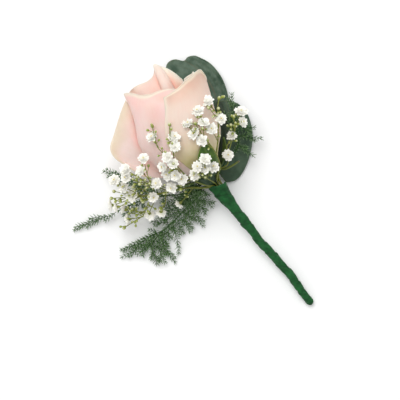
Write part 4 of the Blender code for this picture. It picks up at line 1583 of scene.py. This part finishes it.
# The control points of the two leaves, row by row from the stalk to the tip.
LEAF_1 = (
    ((21.6, 17.8, 3.4), (22.4, 17.4, 3.1), (23.2, 16.8, 3), (24, 16.2, 3), (24.8, 15.6, 3),
     (25.6, 15.2, 3.1), (26.2, 15.4, 3.2)),
    ((22.6, 24.6, 3.6), (26, 25.2, 2.6), (29.6, 24.4, 2.1), (32.4, 22.8, 1.9), (34.4, 21.6, 2),
     (36.4, 21.8, 2.3), (38.4, 23.4, 2.7)),
    ((24.4, 33, 4.4), (29.8, 34.2, 3), (35, 34, 2), (39.2, 32.8, 1.5), (41.4, 31.9, 1.7),
     (43.6, 31.6, 2.2), (45.2, 32.4, 2.8)),
    ((25.5, 40.5, 5), (31.5, 42, 3.2), (37.4, 42, 2), (42.5, 40.6, 1.4), (44.6, 40.4, 1.6),
     (46.8, 40.3, 2.2), (48.4, 40.4, 2.9)),
    ((26.5, 48, 5), (32, 49.5, 3.2), (38, 49.4, 2), (43, 48.4, 1.4), (45, 48.4, 1.6), (47.2, 48, 2.2),
     (48.8, 47.4, 2.9)),
    ((28.5, 55, 4.6), (33.4, 56.6, 3.2), (38, 56, 2.2), (41.6, 54.6, 1.6), (43.8, 54.6, 1.7),
     (46.2, 53.4, 2.2), (47.9, 51.8, 2.8)),
    ((31.5, 60.2, 3.5), (34.2, 61.6, 3.2), (37.4, 60.8, 2.6), (40.1, 57.9, 2), (42.6, 58, 1.9),
     (45, 56.8, 2.2), (46.6, 54.6, 2.8)),
)
LEAF_2 = (
    ((19.6, 12.6, 6.4), (20, 12, 6.2), (20.4, 11.4, 6), (20.8, 10.8, 5.8), (20.6, 8.6, 5), (20.4, 6, 3.8),
     (20.4, 3.6, 2.6)),
    ((24, 15.4, 6.6), (24.6, 14.4, 6.5), (25.2, 13.4, 6.4), (26, 12.3, 6.2), (26, 8.8, 5), (25.6, 5, 3.2),
     (25, 1.6, 1.4)),
    ((29.6, 20, 6.6), (30.2, 18.6, 6.8), (30.8, 17.2, 6.8), (31.6, 15.8, 6.7), (33, 11.8, 5.4),
     (34, 7.8, 3.6), (34.2, 4.9, 1.6)),
    ((34, 25.4, 6.2), (35, 23.6, 6.6), (36, 22, 6.9), (37.2, 20.4, 6.9), (39.4, 16.6, 5.8),
     (41.4, 12.8, 4), (42, 11.6, 2.2)),
    ((37.4, 30.4, 5.6), (38.4, 28.8, 6), (39.4, 27.4, 6.3), (40.6, 26, 6.4), (43, 23.6, 5.6),
     (45.4, 21, 4.2), (46.6, 19.6, 2.8)),
    ((38.6, 33.6, 4.8), (39.8, 32.6, 5.1), (40.9, 31.4, 5.4), (42.2, 30, 5.6), (44, 28.4, 5),
     (45.8, 26.6, 4.2), (47.2, 24.6, 3.4)),
    ((39.4, 34.2, 4.4), (40.8, 33.8, 4.7), (42, 33, 4.9), (43.4, 32, 5), (44.6, 31, 4.8),
     (45.8, 29.4, 4.4), (46.8, 27.2, 3.8)),
)


@dataclass(frozen=True)
class EucalyptusLeaf:
    """A broad leathery leaf through control points in bench millimetres, with its stalk."""

    number: int
    slot: int
    control: Grid
    stalk: Points
    thickness: float = 0.36
    rows: int = 90
    columns: int = 61
    veins: float = 13

    def build(self, finish: Material) -> None:
        """Shapes the leaf: a raised edge, a sunk middle rib and soft dents between its veins.

        Args:
            finish: its material.
        """
        grid = smooth_sheet(np.array(self.control), self.rows, self.columns, even=True)
        v, u = spread_grid(self.rows, self.columns)
        rib = hump(u, 0.035) * (1 - 0.5 * v)
        wide = np.abs(u)
        veins = np.cos(TURN * self.veins * (v - 0.275 * wide)) * ease(wide / 0.2) * (1 - 0.6 * wide)
        dents = np.sin(3.1 * v * TURN + 2 * u) * np.sin(2.2 * TURN * u + 1.3) * 0.12
        up = sheet_normals(grid)
        up *= np.sign(up[..., 2:3].mean())
        grid = grid + up * (-0.16 * rib + 0.035 * veins + dents + 0.12 * wide ** 6)[..., None]
        edge = ease((np.maximum(wide, np.abs(2 * v - 1)) - 0.965) / 0.035)
        shape = shell_shape(grid, self.thickness * (1 - 0.5 * edge), {Mask.RIM: 0.6 * edge, Mask.DEEP: rib})
        if sheet_normals(grid)[..., 2].mean() < 0:
            shape.masks[Mask.INNER] = 1 - shape.masks[Mask.INNER]
        name = f"eucalyptus_leaf_{self.number}"
        stalk = tube_shape(smooth_line(STEM.route(self.slot, self.stalk), 40), np.linspace(0.36, 0.5, 40), 12)
        Body.of(f"{name}_blade", shape, stalk).build([finish], "eucalyptus_leaf", name)


@dataclass(frozen=True)
class Eucalyptus:
    """The two leaves behind the rose and the bare side twig.

    profile gives the twig's radius as (share, radius) from the tape, thicker at its nodes.
    """

    leaves: tuple[EucalyptusLeaf, ...] = (
        EucalyptusLeaf(1, 7, LEAF_1, ((20.6, 14.4, 3.1), (24.4, 16.8, 3))),
        EucalyptusLeaf(2, 6, LEAF_2, ((19.6, 9.4, 5.2), (21.6, 11.2, 5.9))))
    twig_slot: int = 4
    twig: Points = ((24.4, 8.2, 12.6), (30.6, 7.2, 15))
    profile: Pairs = (
        (0, 0.36), (0.3, 0.36), (0.34, 0.46), (0.62, 0.4), (0.66, 0.52), (0.97, 0.4), (1, 0.44))

    def build(self) -> None:
        """Builds the leaves and the twig."""
        lit = LeafFinish(
            "eucalyptus_skin", rough=(0.45, 0.62), bump=0.4, gloss=0.4, body=(0.028, 0.064, 0.036),
            patch=(0.082, 0.132, 0.09), vein=(0.09, 0.086, 0.047), edge=(0.112, 0.146, 0.077),
            back=(0.103, 0.163, 0.12))
        # Leaf 2 gets the shaded copy: darker patches, veins and edge, and painted shade across its inner
        # side, next to the bloom.
        shaded = LeafFinish(
            "eucalyptus_shaded_skin", rough=(0.45, 0.62), bump=0.4, gloss=0.35, body=(0.03, 0.066, 0.034),
            patch=(0.06, 0.104, 0.06), vein=(0.08, 0.075, 0.035), edge=(0.1, 0.13, 0.06),
            back=(0.1, 0.16, 0.12), painted_shade_in=(0.46, 0))
        for leaf, finish in zip(self.leaves, (lit, shaded)):
            leaf.build(finish.material())
        line = smooth_line(STEM.route(self.twig_slot, self.twig), 50)
        shape = tube_shape(line, np.interp(shares(50), *zip(*self.profile)), 14, 0.6)
        shape.masks[Mask.RIM] = (shape.flat[:, 1] > 0.97).astype(float)
        bark = ToneFinish("twig_bark", dark=(0.077, 0.112, 0.017), light=(0.172, 0.206, 0.043),
                          tip=(0.11, 0.1, 0.04)).material()
        Body.of("cut_side_twig", shape).build([bark], "cut_twig", "side_twig")


# ---- sprigs ----

def branch_line(root: Array, end: Array, lift: float, dice: Random,
                count: int) -> Array:
    """A slightly wandering line from a root to an end.

    Args:
        root: where it starts.
        end: where it ends.
        lift: how far its middle rises, as a share of its length.
        dice: the sprig's dice.
        count: the points wanted.

    Returns:
        The points.
    """
    size = float(np.linalg.norm(end - root))
    middle = 0.5 * (root + end) + np.array((0, 0, lift * size))
    wander = np.array([dice.uniform(-1, 1) for _ in range(3)]) * 0.03 * size
    return smooth_line([root, 0.6 * root + 0.4 * middle + wander, middle - wander, end], count)


def on_line(line: Array, share: float) -> Array:
    """The point at a share of a line's knots.

    Args:
        line: its points.
        share: 0 at its first point and 1 at its last.

    Returns:
        The point.
    """
    knot = min(max(share, 0), 1) * (len(line) - 1)
    low = min(int(knot), len(line) - 2)
    return line[low] + (line[low + 1] - line[low]) * (knot - low)


@dataclass
class Sprig:
    """A main stem from its slot in the tape, and what it bears. Its dice and its body are its own."""

    number: int
    slot: int
    main: Points
    dice: Random = field(init=False)
    body: Body = field(init=False)
    stem_steps: ClassVar[int]
    line_steps: ClassVar[int]

    def begin(self, name: str, seed: int) -> None:
        """Starts the piece with its dice."""
        self.dice = Random(seed + self.number)
        self.body = Body(f"{name}_{self.number}")

    def grow_stem(self, foot: float, end: float, sides: int, tone: float) -> Array:
        """Adds the main stem.

        Args:
            foot: its radius at its foot.
            end: its radius at its end.
            sides: how many sides it has.
            tone: its TONE.

        Returns:
            The stem's line past the tape and the hip.
        """
        knots = STEM.route(self.slot, self.main)
        line = smooth_line(knots, self.stem_steps * len(knots))
        self.body.add(tube_shape(line, np.linspace(foot, end, len(line)), sides, tone))
        last_bound = chord_knots(np.array(knots))[len(knots) - len(self.main) - 1]
        return smooth_line(knots, self.line_steps)[int(self.line_steps * last_bound):]

class Load(Enum):
    """What a twig of baby's breath bears at its end."""

    FLORET = "floret"
    NOD = "nodding floret"
    BUD = "bud"
    FORK = "fork"


F, D, B, N = Load.FLORET, Load.NOD, Load.BUD, Load.FORK


def blossom_petal(notch: float, cup: float, frill: float) -> Template:
    """One small petal of a double floret, one unit long and lying along the first direction.

    Args:
        notch: where its end is longest, as a share of its half width.
        cup: how much it hollows.
        frill: how much its end waves.

    Returns:
        The petal as a thin closed shell.
    """
    share, side = spread_grid(7, 6)
    width = 0.07 + 0.23 * np.sin(0.5 * pi * np.minimum(share / 0.8, 1)) ** 1.3
    length = share * (1 - 0.5 * share ** 2 * np.abs(np.abs(side) - notch))
    height = cup * (share ** 2 - 0.25 * share) + 0.5 * side * side * width
    height += frill * share ** 3 * np.sin(side * 5.2)
    return shell_shape(np.stack([length, side * width, height], axis=-1), 0.03, {Mask.RIM: share ** 4})


@dataclass(frozen=True)
class BlossomKit:
    """The small shapes that every spray of baby's breath is set with."""

    petals: tuple[Template, ...]
    cup: Template
    tooth: Template
    bud: Template
    heart: Template

    @classmethod
    def cut(cls) -> "BlossomKit":
        kinds = ((0, 0.12, 0.03), (0.55, 0.2, -0.04), (0.1, 0.05, 0.05))
        petals = tuple(blossom_petal(*kind) for kind in kinds)
        cup = lathe_shape([(0, -1), (0.22, -0.96), (0.42, -0.7), (0.62, -0.3), (0.72, 0.1), (0.66, 0.34),
                           (0.5, 0.36), (0, 0.2)], 10, {Mask.TONE: [0.3, 0.3, 0.5, 0.6, 0.7, 0.8, 0.8, 0.8]})
        share, side = spread_grid(4, 3)
        blade = [0.62 + 0.34 * share, side * 0.34 * (1 - share ** 1.4 * 0.94), -0.1 + 0.85 * share]
        tooth = shell_shape(np.stack(blade, axis=-1), 0.06, {Mask.TONE: 0.5 + 0.4 * share})
        masks = {Mask.TONE: [0.3, 0.35, 0.5, 0.65, 0.75, 0.85, 0.9, 0.9],
                 Mask.RIM: [0, 0, 0, 0, 0.15, 0.6, 0.95, 1]}
        bud = lathe_shape([(0, -1), (0.4, -0.9), (0.75, -0.55), (0.92, -0.1), (0.88, 0.35), (0.62, 0.75),
                           (0.28, 0.98), (0, 1.06)], 10, masks)
        heart = lathe_shape([(0, -0.4), (0.6, -0.2), (0.8, 0.2), (0.45, 0.6), (0, 0.7)], 7,
                            {Mask.TONE: [0.5] * 5})
        return cls(petals, cup, tooth, bud, heart)


class Part(IntEnum):
    """The finishes of a spray, in order."""

    STEM = 0
    PETAL = 1
    HEART = 2
    BUD = 3


@dataclass
class GypsophilaSpray(Sprig):
    """A spray of baby's breath.

    Its twigs are (parent, share, end, load), and parent 0 is the main stem. rings gives the petals of a
    floret, as (count, reach, rise).
    """

    twigs: tuple[tuple[int, float, Point, Load], ...]
    foot: float = 0.36
    floret: float = 3.15
    bud: float = 0.85
    rings: Points = ((9, 1, 8), (8, 0.93, 24), (7, 0.8, 40), (5, 0.64, 57), (3, 0.46, 76))
    stem_steps: ClassVar[int] = 10
    line_steps: ClassVar[int] = 200
    kit: BlossomKit = field(init=False)

    def add_petal(self, frame_of: Array, foot: Array, angle: float, rise: float,
                  size: float) -> None:
        """Sets one petal of a floret.

        Args:
            frame_of: the floret's directions, as columns of a matrix.
            foot: where the petal starts.
            angle: its angle round the floret.
            rise: how steeply it stands, in degrees.
            size: its length, before the dice change it.
        """
        dice = self.dice
        lift = radians(rise + dice.uniform(-8, 8))
        out = np.array((cos(angle) * cos(lift), sin(angle) * cos(lift), sin(lift)))
        side = np.array((-sin(angle), cos(angle), 0))
        roll = dice.uniform(-0.22, 0.22)
        side = side * cos(roll) + np.cross(out, side) * sin(roll)
        local = np.stack([out, side, np.cross(out, side)], axis=1)
        long = size * dice.uniform(0.88, 1.08)
        self.body.set(dice.choice(self.kit.petals), frame_of @ local, foot,
                      (long, long * dice.uniform(1.05, 1.4), long), dice.uniform(0.35, 0.9), Part.PETAL)

    def add_floret(self, where: Array, facing: Array) -> None:
        """Sets a double floret: rings of frilled petals in a green cup, with its heart showing or closed.

        Args:
            where: the middle of the floret.
            facing: the way it opens.
        """
        dice = self.dice
        frame_of = facing_frame(facing, dice.uniform(0, TURN))
        ahead = frame_of[:, 2]
        size = self.floret * dice.uniform(0.88, 1.06)
        foot = where - ahead * 0.45 * size
        open_heart = dice.random() < 0.7
        for count, reach, rise in self.rings[:-1] if open_heart else self.rings:
            spin = dice.uniform(0, TURN)
            for k in range(count):
                angle = spin + TURN * (k + dice.uniform(-0.22, 0.22)) / count
                self.add_petal(frame_of, foot + ahead * 0.02 * k, angle, rise, size * reach)
        if open_heart:
            self.body.set(self.kit.heart, frame_of, foot + ahead * 0.45 * size, 0.42, 0.5, Part.HEART)
        self.add_cup(foot - ahead * 0.3, frame_of, 0.95 * dice.uniform(0.9, 1.1))

    def add_cup(self, where: Array, frame_of: Array, size: float) -> None:
        """Sets a green cup with five teeth.

        Args:
            where: the middle of the cup.
            frame_of: its directions, as columns of a matrix.
            size: its size.
        """
        tone = self.dice.uniform(0.35, 0.8)
        self.body.set(self.kit.cup, frame_of, where, (size, size, size * 1.25), tone)
        for k in range(5):
            turned = frame_of @ np.array(Matrix.Rotation(TURN * k / 5, 3, "Z"))
            self.body.set(self.kit.tooth, turned, where, (size, size, size * 1.15), min(tone + 0.15, 1))

    def add_bud(self, where: Array, facing: Array, size: float) -> None:
        """Sets a closed bud: green, with its white petals just showing at its tip.

        Args:
            where: the middle of the bud.
            facing: the way it points.
            size: its size.
        """
        frame_of = facing_frame(facing, self.dice.uniform(0, TURN))
        tall = (size, size, size * 1.15)
        self.body.set(self.kit.bud, frame_of, where, tall, self.dice.uniform(0.3, 0.8), Part.BUD)
        self.add_cup(where - frame_of[:, 2] * 0.25 * size, frame_of, size * 0.92)

    def add_twiglets(self, line: Array) -> None:
        """Sets short side twiglets with tiny buds, and a knot where they fork.

        Args:
            line: the twig that bears them.
        """
        dice, run = self.dice, line[-1] - line[0]
        for _ in range(3 if np.linalg.norm(run) > 5 else 2):
            root = on_line(line, dice.uniform(0.3, 0.8))
            out = unit(np.array([dice.uniform(-1, 1), dice.uniform(-1, 1), dice.uniform(-0.1, 0.8)]))
            tip = root + (unit(run) * 0.7 + out) * dice.uniform(1.3, 2.4)
            twiglet = branch_line(root, tip, 0.05, dice, 6)
            self.body.add(tube_shape(twiglet, np.linspace(0.16, 0.13, 6), 5, 0.6))
            self.add_bud(tip, tip - root, dice.uniform(0.5, 0.7))
            self.body.set(self.kit.heart, np.eye(3), root, 0.34, 0.5)

    def build(self, kit: BlossomKit, finishes: list[Material]) -> None:
        """Grows the spray: stems, side twiglets with small buds, florets and buds.

        Args:
            kit: the shapes to set.
            finishes: the materials, in the order of Part.
        """
        self.kit = kit
        self.begin("babys_breath", 40)
        reach = [self.grow_stem(self.foot, 0.65 * self.foot, 8, 0.45)]
        for parent, share, end, load in self.twigs:
            root, tip = on_line(reach[parent], share), np.array(end)
            line = branch_line(root, tip, 0.06, self.dice, 14)
            reach.append(line)
            rise = 0.15 if load is D else 1.2
            sway = np.array((self.dice.uniform(-0.25, 0.25), self.dice.uniform(-0.25, 0.25), rise))
            facing = unit(tip - line[6]) + sway
            stop = tip - unit(facing) * 0.8 * self.floret if load in (F, D) else tip
            line = branch_line(root, stop, 0.08, self.dice, 14)
            self.body.add(tube_shape(line, np.linspace(0.22, 0.16, 14), 6, 0.55))
            if load in (F, D):
                self.add_floret(tip, facing)
            elif load is B:
                self.add_bud(tip, facing, self.bud)
            self.add_twiglets(line)
        self.body.build(finishes, "gypsophila_white", f"gypsophila_spray_{self.number}")


# Each spray: its slot, its main stem past the hip, then its twigs.
SPRAYS = (
    GypsophilaSpray(1, 2, ((23.6, 15, 27), (29.6, 21, 33.4), (34.4, 27, 35), (38, 31.6, 33.6)), (
        (0, 1, (40.6, 33.8, 33.4), B), (0, 0.95, (37.4, 30.4, 36), B), (0, 0.9, (35.8, 36.2, 37.6), F),
        (0, 0.75, (35.7, 26.3, 37.4), F), (0, 0.6, (29.6, 25.6, 39.4), F), (0, 0.85, (34.2, 33.2, 39.5), B))),
    GypsophilaSpray(2, 3, ((25.8, 9.4, 17.4), (30.2, 15.6, 21.5)), (
        (0, 1, (35.2, 18, 22.5), F), (0, 0.6, (28.4, 12.4, 23), F), (0, 0.85, (41, 21, 21.5), N),
        (3, 1, (45.2, 24, 22), F), (3, 0.9, (43, 19.4, 21.5), F), (3, 0.7, (40.8, 23.8, 23.5), B),
        (3, 0.5, (37.5, 21.6, 24), B))),
    GypsophilaSpray(3, 0, ((14.4, 10.6, 27),), (
        (0, 1, (16.8, 14.4, 33.4), F), (0, 0.9, (20.2, 12.6, 31), F), (0, 1, (19.4, 17.2, 37.2), F),
        (0, 1, (14.6, 16.8, 36), F), (0, 0.8, (11, 14.8, 30.4), F))),
    GypsophilaSpray(4, 1, ((22.8, 11.2, 28.4), (24.6, 17.4, 35), (24.6, 24.6, 38.6)), (
        (0, 0.8, (22.8, 24.4, 40.6), F), (0, 1, (22, 29, 41.4), F), (0, 1, (28.8, 30, 41.4), F),
        (3, 0.9, (29.8, 35.8, 41.4), F), (0, 1, (25.4, 31.6, 41.4), B), (2, 0.9, (23.2, 34.2, 41.6), F))),
    GypsophilaSpray(5, 11, ((9.4, 13.6, 25), (8, 19, 31.6), (8.4, 24.6, 36.4), (12.4, 30.6, 40.4)), (
        (0, 1, (15.2, 33, 41.4), F), (0, 0.9, (12.6, 29.4, 42), F), (0, 0.7, (7.2, 24.4, 39.4), F),
        (0, 0.75, (6.8, 28.2, 40), F), (0, 0.6, (2.4, 26.4, 36), F), (0, 0.5, (4.4, 20, 33.4), F),
        (0, 0.45, (5.8, 17, 31.4), F), (0, 0.65, (6.4, 34, 39.4), N), (8, 0.95, (7.4, 39.4, 39.6), F),
        (8, 1, (10.4, 42.4, 39.4), B), (0, 0.85, (16.6, 38.2, 42), B), (0, 0.35, (-0.4, 16.8, 27.6), F),
        (0, 0.55, (1.8, 22.6, 32), F))),
    GypsophilaSpray(6, 10, ((5.4, 12.4, 16.5), (-1.5, 16, 18.5), (-7.4, 19.2, 19.5), (-12.4, 22.4, 20)), (
        (0, 0.85, (-8.8, 18.4, 24), F), (0, 1, (-16.2, 25.4, 23), F), (0, 0.56, (-6.4, 23.6, 31.4), N),
        (3, 1, (-10.6, 35.8, 34), F), (3, 0.9, (-12.8, 33, 33), F), (3, 0.8, (-5.8, 31.2, 35), F),
        (3, 1, (-1.2, 34.4, 37), F), (0, 1, (-16.4, 30.6, 28), F), (8, 0.8, (-17.2, 35.4, 30), F),
        (0, 0.5, (-4, 22.6, 31), F), (0, 0.85, (-18, 15, 14), N), (11, 1, (-23, 23.6, 13), D),
        (11, 1, (-24.6, 18.8, 10.4), D), (11, 0.95, (-27.8, 16.5, 7.5), B), (0, 0.6, (-11.2, 11.2, 10.5), D),
        (0, 0.76, (-15.6, 13.6, 10.5), D), (0, 0.2, (-2.7, 9.2, 12), D), (0, 1, (-23.5, 30, 20), B),
        (0, 1, (-26.4, 28.2, 18), D), (0, 1, (-25, 26, 18), D), (0, 0.9, (-21, 27, 20), B),
        (0, 1, (-20.6, 31.6, 22), B), (0, 0.8, (-12.8, 27.6, 26), B), (0, 0.7, (-13.6, 20, 22), B),
        (11, 0.9, (-19.4, 20.4, 15), B), (11, 0.7, (-17.6, 17, 13), B), (3, 0.6, (-9.6, 26.6, 32), B),
        (3, 0.5, (-8.4, 29.6, 33), B)), foot=0.5),
)


@dataclass(frozen=True)
class BabysBreath:
    """All the sprays of baby's breath, with the finishes that they share."""

    sprays: tuple[GypsophilaSpray, ...] = SPRAYS

    def build(self) -> None:
        """Builds every spray."""
        stem = ToneFinish("breath_stem", rough=(0.4, 0.6), dark=(0.085, 0.105, 0.014),
                          light=(0.27, 0.3, 0.045), tip=(0.34, 0.38, 0.08))
        petal = ToneFinish("breath_petal", rough=(0.5, 0.7), gloss=0.2, dark=(0.955, 0.93, 0.825),
                           light=(0.98, 0.97, 0.905), tip=(0.96, 0.955, 0.91), scale=500)
        heart = ToneFinish("breath_heart", dark=(0.645, 0.516, 0.12), light=(0.731, 0.636, 0.224))
        bud = ToneFinish("breath_bud", rough=(0.4, 0.6), dark=(0.17, 0.22, 0.025), light=(0.33, 0.38, 0.065),
                         tip=(0.64, 0.64, 0.4))
        finishes = [finish.material() for finish in (stem, petal, heart, bud)]
        kit = BlossomKit.cut()
        for spray in self.sprays:
            spray.build(kit, finishes)


# ---- asparagus fern ----

@dataclass
class FernFrond(Sprig):
    """A frond of plumosus fern: a wiry stem, and plumes of needles from it as (share, end, side reach)."""

    plumes: tuple[tuple[float, Point, float], ...]
    reach: float = 2.6
    spacing: float = 1.3
    whorl: int = 4
    needle_radius: float = 0.19
    lowest: float = 0.05
    stem_steps: ClassVar[int] = 12
    line_steps: ClassVar[int] = 300
    needle: Template = field(init=False)

    def add_plume(self, line: Array, reach: float) -> None:
        """Sets whorls of needles along a line, shorter at its foot and towards its tip.

        Args:
            line: the middle of the plume.
            reach: its longest needle.
        """
        dice = self.dice
        length = float(np.linalg.norm(np.diff(line, axis=0), axis=1).sum())
        count = max(int(length / self.spacing), 4)
        side, above, ahead = line_frames(line)
        spin = 0
        for k in range(count):
            share = (k + 0.5) / count
            where = on_line(line, share)
            index = min(int(share * len(line)), len(line) - 1)
            size = reach * (0.8 + 0.2 * min(share * 3, 1)) * (1 - 0.25 * share ** 3)
            spin += 1.9
            for j in range(self.whorl):
                angle = spin + TURN * j / self.whorl + dice.uniform(-0.3, 0.3)
                lean = radians(dice.uniform(36, 58) * (1 - 0.3 * share ** 3))
                out = side[index] * cos(angle) + above[index] * sin(angle)
                way = unit(ahead[index] * cos(lean) + out * sin(lean))
                if where[2] + way[2] * size < self.lowest:
                    way = unit(way * np.array((1, 1, -0.2)))
                scale = (self.needle_radius, self.needle_radius, size * dice.uniform(0.8, 1.15))
                self.body.set(self.needle, facing_frame(way, 0), where, scale, dice.uniform(0.1, 0.95))

    def add_sides(self, line: Array, side_reach: float) -> None:
        """Sets side plumes on both sides of a plume, longest near its foot.

        Args:
            line: the middle of the plume.
            side_reach: the longest side plume, or 0 for none.
        """
        dice, run = self.dice, line[-1] - line[0]
        across = unit(np.cross(run, UP))
        count = int(float(np.linalg.norm(run)) / 2.4 * min(side_reach / 4, 1))
        for k in range(count):
            share = 0.02 + 0.72 * k / count
            out = across * (1 if k % 2 else -1) * side_reach * dice.uniform(0.45, 0.95)
            stop = on_line(line, min(share + dice.uniform(0.3, 0.42), 0.97)) + out * (1 - 0.5 * share)
            stop[2] = max(stop[2] + dice.uniform(-1, 1.4), 0.7)
            twig = branch_line(on_line(line, share), stop, 0.03, dice, 10)
            self.body.add(tube_shape(twig, np.linspace(0.08, 0.05, 10), 4, 0.35))
            self.add_plume(twig[1:], self.reach * dice.uniform(0.8, 0.95))

    def build(self, finish: Material) -> None:
        """Grows the frond.

        Args:
            finish: its material.
        """
        self.begin("plumosus_frond", 70)
        self.needle = lathe_shape([(0, 0), (1, 0.35), (0.7, 0.8), (0, 1)], 3,
                                  {Mask.TONE: [0.4, 0.5, 0.65, 0.7], Mask.RIM: [0, 0.1, 0.6, 1]})
        free = self.grow_stem(0.36, 0.22, 7, 0.3)
        self.add_plume(free[len(free) // 3:], self.reach * 0.8)
        for share, end, side_reach in self.plumes:
            line = branch_line(on_line(free, share), np.array(end), 0.04, self.dice, 24)
            self.body.add(tube_shape(line, np.linspace(0.14, 0.06, 24), 5, 0.35))
            self.add_plume(line[2:], self.reach)
            self.add_sides(line, side_reach)
        self.body.build([finish], "fern_green", f"fern_frond_{self.number}")


# Each frond: its slot, its main stem past the hip, then its plumes.
FRONDS = (
    FernFrond(1, 9, ((7, 6.6, 8.4), (-1, 5.9, 5.6), (-10.6, 4.6, 3.8), (-17, 4.4, 2.6), (-24, 2.9, 1.9)), (
        (0.78, (-35.2, 9.9, 1.5), 2.4), (0.95, (-37, 7, 1.5), 2.2), (0.9, (-31, 3.6, 2.6), 3.4),
        (0.98, (-27, -5.2, 1.4), 4.2), (0.9, (-23.4, -7, 2.2), 4.2), (0.85, (-20, -9.7, 1.4), 2.2),
        (0.74, (-20, -2, 3), 4), (0.6, (-16.2, -7.6, 1.5), 0), (0.66, (-16.2, -0.1, 2), 4.6),
        (0.5, (-10.6, -1.6, 2.4), 4.6), (0.42, (-6.2, -3.5, 1.8), 3.6), (0.34, (-3.6, -0.6, 3.4), 4.4),
        (0.3, (0, -5.1, 2), 3), (0.2, (3.9, -1.4, 3), 3.6), (0.12, (8.6, -1, 3.2), 3),
        (0.62, (-16.4, 11.1, 3), 4.4), (0.5, (-11.6, 9.8, 5), 5), (0.44, (-8.6, 14, 6), 4),
        (0.3, (-3, 10.4, 6), 4), (0.75, (-24, 7, 2.4), 4.6), (0.08, (1.6, 11.6, 5.6), 3.4),
        (0.02, (5.4, 4.4, 6.6), 3.4), (0.22, (-5, 13.2, 4.6), 4), (0.16, (-2, 3, 5.4), 3.4),
        (0, (2.6, 14.4, 11), 4.6), (0, (9.4, 12.4, 11), 3.8), (0.04, (-1.4, 12.6, 8.6), 4.6),
        (0.02, (5.4, 10.2, 10.4), 4.4), (0.1, (-4.8, 9.4, 7.6), 4.4))),
    FernFrond(2, 8, ((3.4, 11, 6.6), (-5, 16.4, 5), (-15, 21.4, 3.8), (-25.3, 24.2, 2.8)), (
        (1, (-46, 29.8, 1.4), 2.2), (0.6, (-13.4, 28, 7), 4), (0.45, (-19, 42, 4.4), 2.8),
        (0.7, (-20, 20, 5), 4), (0.4, (-9, 22, 9), 4), (0.85, (-25, 18.4, 3.2), 3.6))),
    FernFrond(3, 5, ((25.4, 10.6, 9.6), (34, 12.4, 11), (39.4, 20, 11.6)), (
        (1, (47, 32.4, 11), 2.6), (0.85, (44.8, 8.8, 7.4), 2), (0.95, (45.6, 14.4, 9.6), 3),
        (0.9, (38.8, 28, 12.5), 2), (0.7, (37.2, 5.2, 7), 1.6))),
)


@dataclass(frozen=True)
class PlumosusFern:
    """The fronds of fern, with their finish."""

    fronds: tuple[FernFrond, ...] = FRONDS

    def build(self) -> None:
        """Builds every frond."""
        finish = ToneFinish("fern_needle", rough=(0.45, 0.65), gloss=0.2, dark=(0.006, 0.03, 0.004),
                            light=(0.07, 0.185, 0.036), tip=(0.27, 0.4, 0.2)).material()
        for frond in self.fronds:
            frond.build(finish)


# ---- table, light and camera ----

@dataclass(frozen=True)
class Studio:
    """A plain pale table, soft light from above, and a camera that looks straight down.

    table is half the table's width in metres and pale its colour. aim is in bench millimetres, spin in
    degrees, and lamp is the lamp's place in metres.
    """

    table: float = 3
    pale: float = 0.93
    sky: float = 0.7
    key: float = 6.2
    lamp: Point = (0.1, 0.44, 0.9)
    lamp_size: float = 0.7
    aim: Point = (6.3, 4.8, 900)
    spin: float = -39.15
    lens: float = 180

    def build_table(self) -> None:
        """The pale table top."""
        far = self.table
        mesh = bpy.data.meshes.new("table_top")
        mesh.from_pydata([(-far, -far, 0), (far, -far, 0), (far, far, 0), (-far, far, 0)], [], [(0, 1, 2, 3)])
        material = bpy.data.materials.new("white_table")
        material.use_nodes = True
        inputs = material.node_tree.nodes["Principled BSDF"].inputs
        inputs["Base Color"].default_value = (self.pale, self.pale, self.pale, 1)
        inputs["Roughness"].default_value = 0.9
        inputs["Specular IOR Level"].default_value = 0.1
        mesh.materials.append(material)
        top = place("table_top", mesh)
        top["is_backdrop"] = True

    def build_light(self) -> None:
        """A bright room and one large soft lamp."""
        world = bpy.data.worlds.new("bright_room")
        world.use_nodes = True
        inputs = world.node_tree.nodes["Background"].inputs
        inputs["Color"].default_value = (1, 1, 1, 1)
        inputs["Strength"].default_value = self.sky
        bpy.context.scene.world = world
        lamp = bpy.data.lights.new("soft_lamp", "AREA")
        lamp.shape = "DISK"
        lamp.size = self.lamp_size
        lamp.energy = self.key
        placed = place("soft_lamp", lamp)
        placed.location = self.lamp
        placed.rotation_euler = Vector(self.lamp).to_track_quat("Z", "Y").to_euler()
        bpy.context.scene.view_settings.view_transform = "Standard"

    def build_camera(self) -> None:
        """The camera, long and level above the table."""
        camera = bpy.data.cameras.new("overhead")
        camera.sensor_width = 36
        camera.lens = self.lens
        placed = place("overhead", camera)
        placed.location = PLACEMENT.carry(np.array(self.aim)).tolist()
        placed.rotation_euler = (0, 0, radians(self.spin))
        bpy.context.scene.camera = placed

    def build(self) -> None:
        """Sets the table, the light and the camera."""
        self.build_table()
        self.build_light()
        self.build_camera()


def main() -> None:
    """Builds the boutonniere in order."""
    logging.basicConfig(level=logging.INFO, format="%(name)s %(message)s")
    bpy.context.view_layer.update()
    STEM.build()
    STEM.dress_wire()
    for part in (RoseBloom(), Eucalyptus(), BabysBreath(), PlumosusFern(), Studio()):
        part.build()
    bpy.context.view_layer.update()
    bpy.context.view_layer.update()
    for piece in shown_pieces():
        LOG.info("shown: %s", piece.name)


if __name__ == "__main__":
    main()
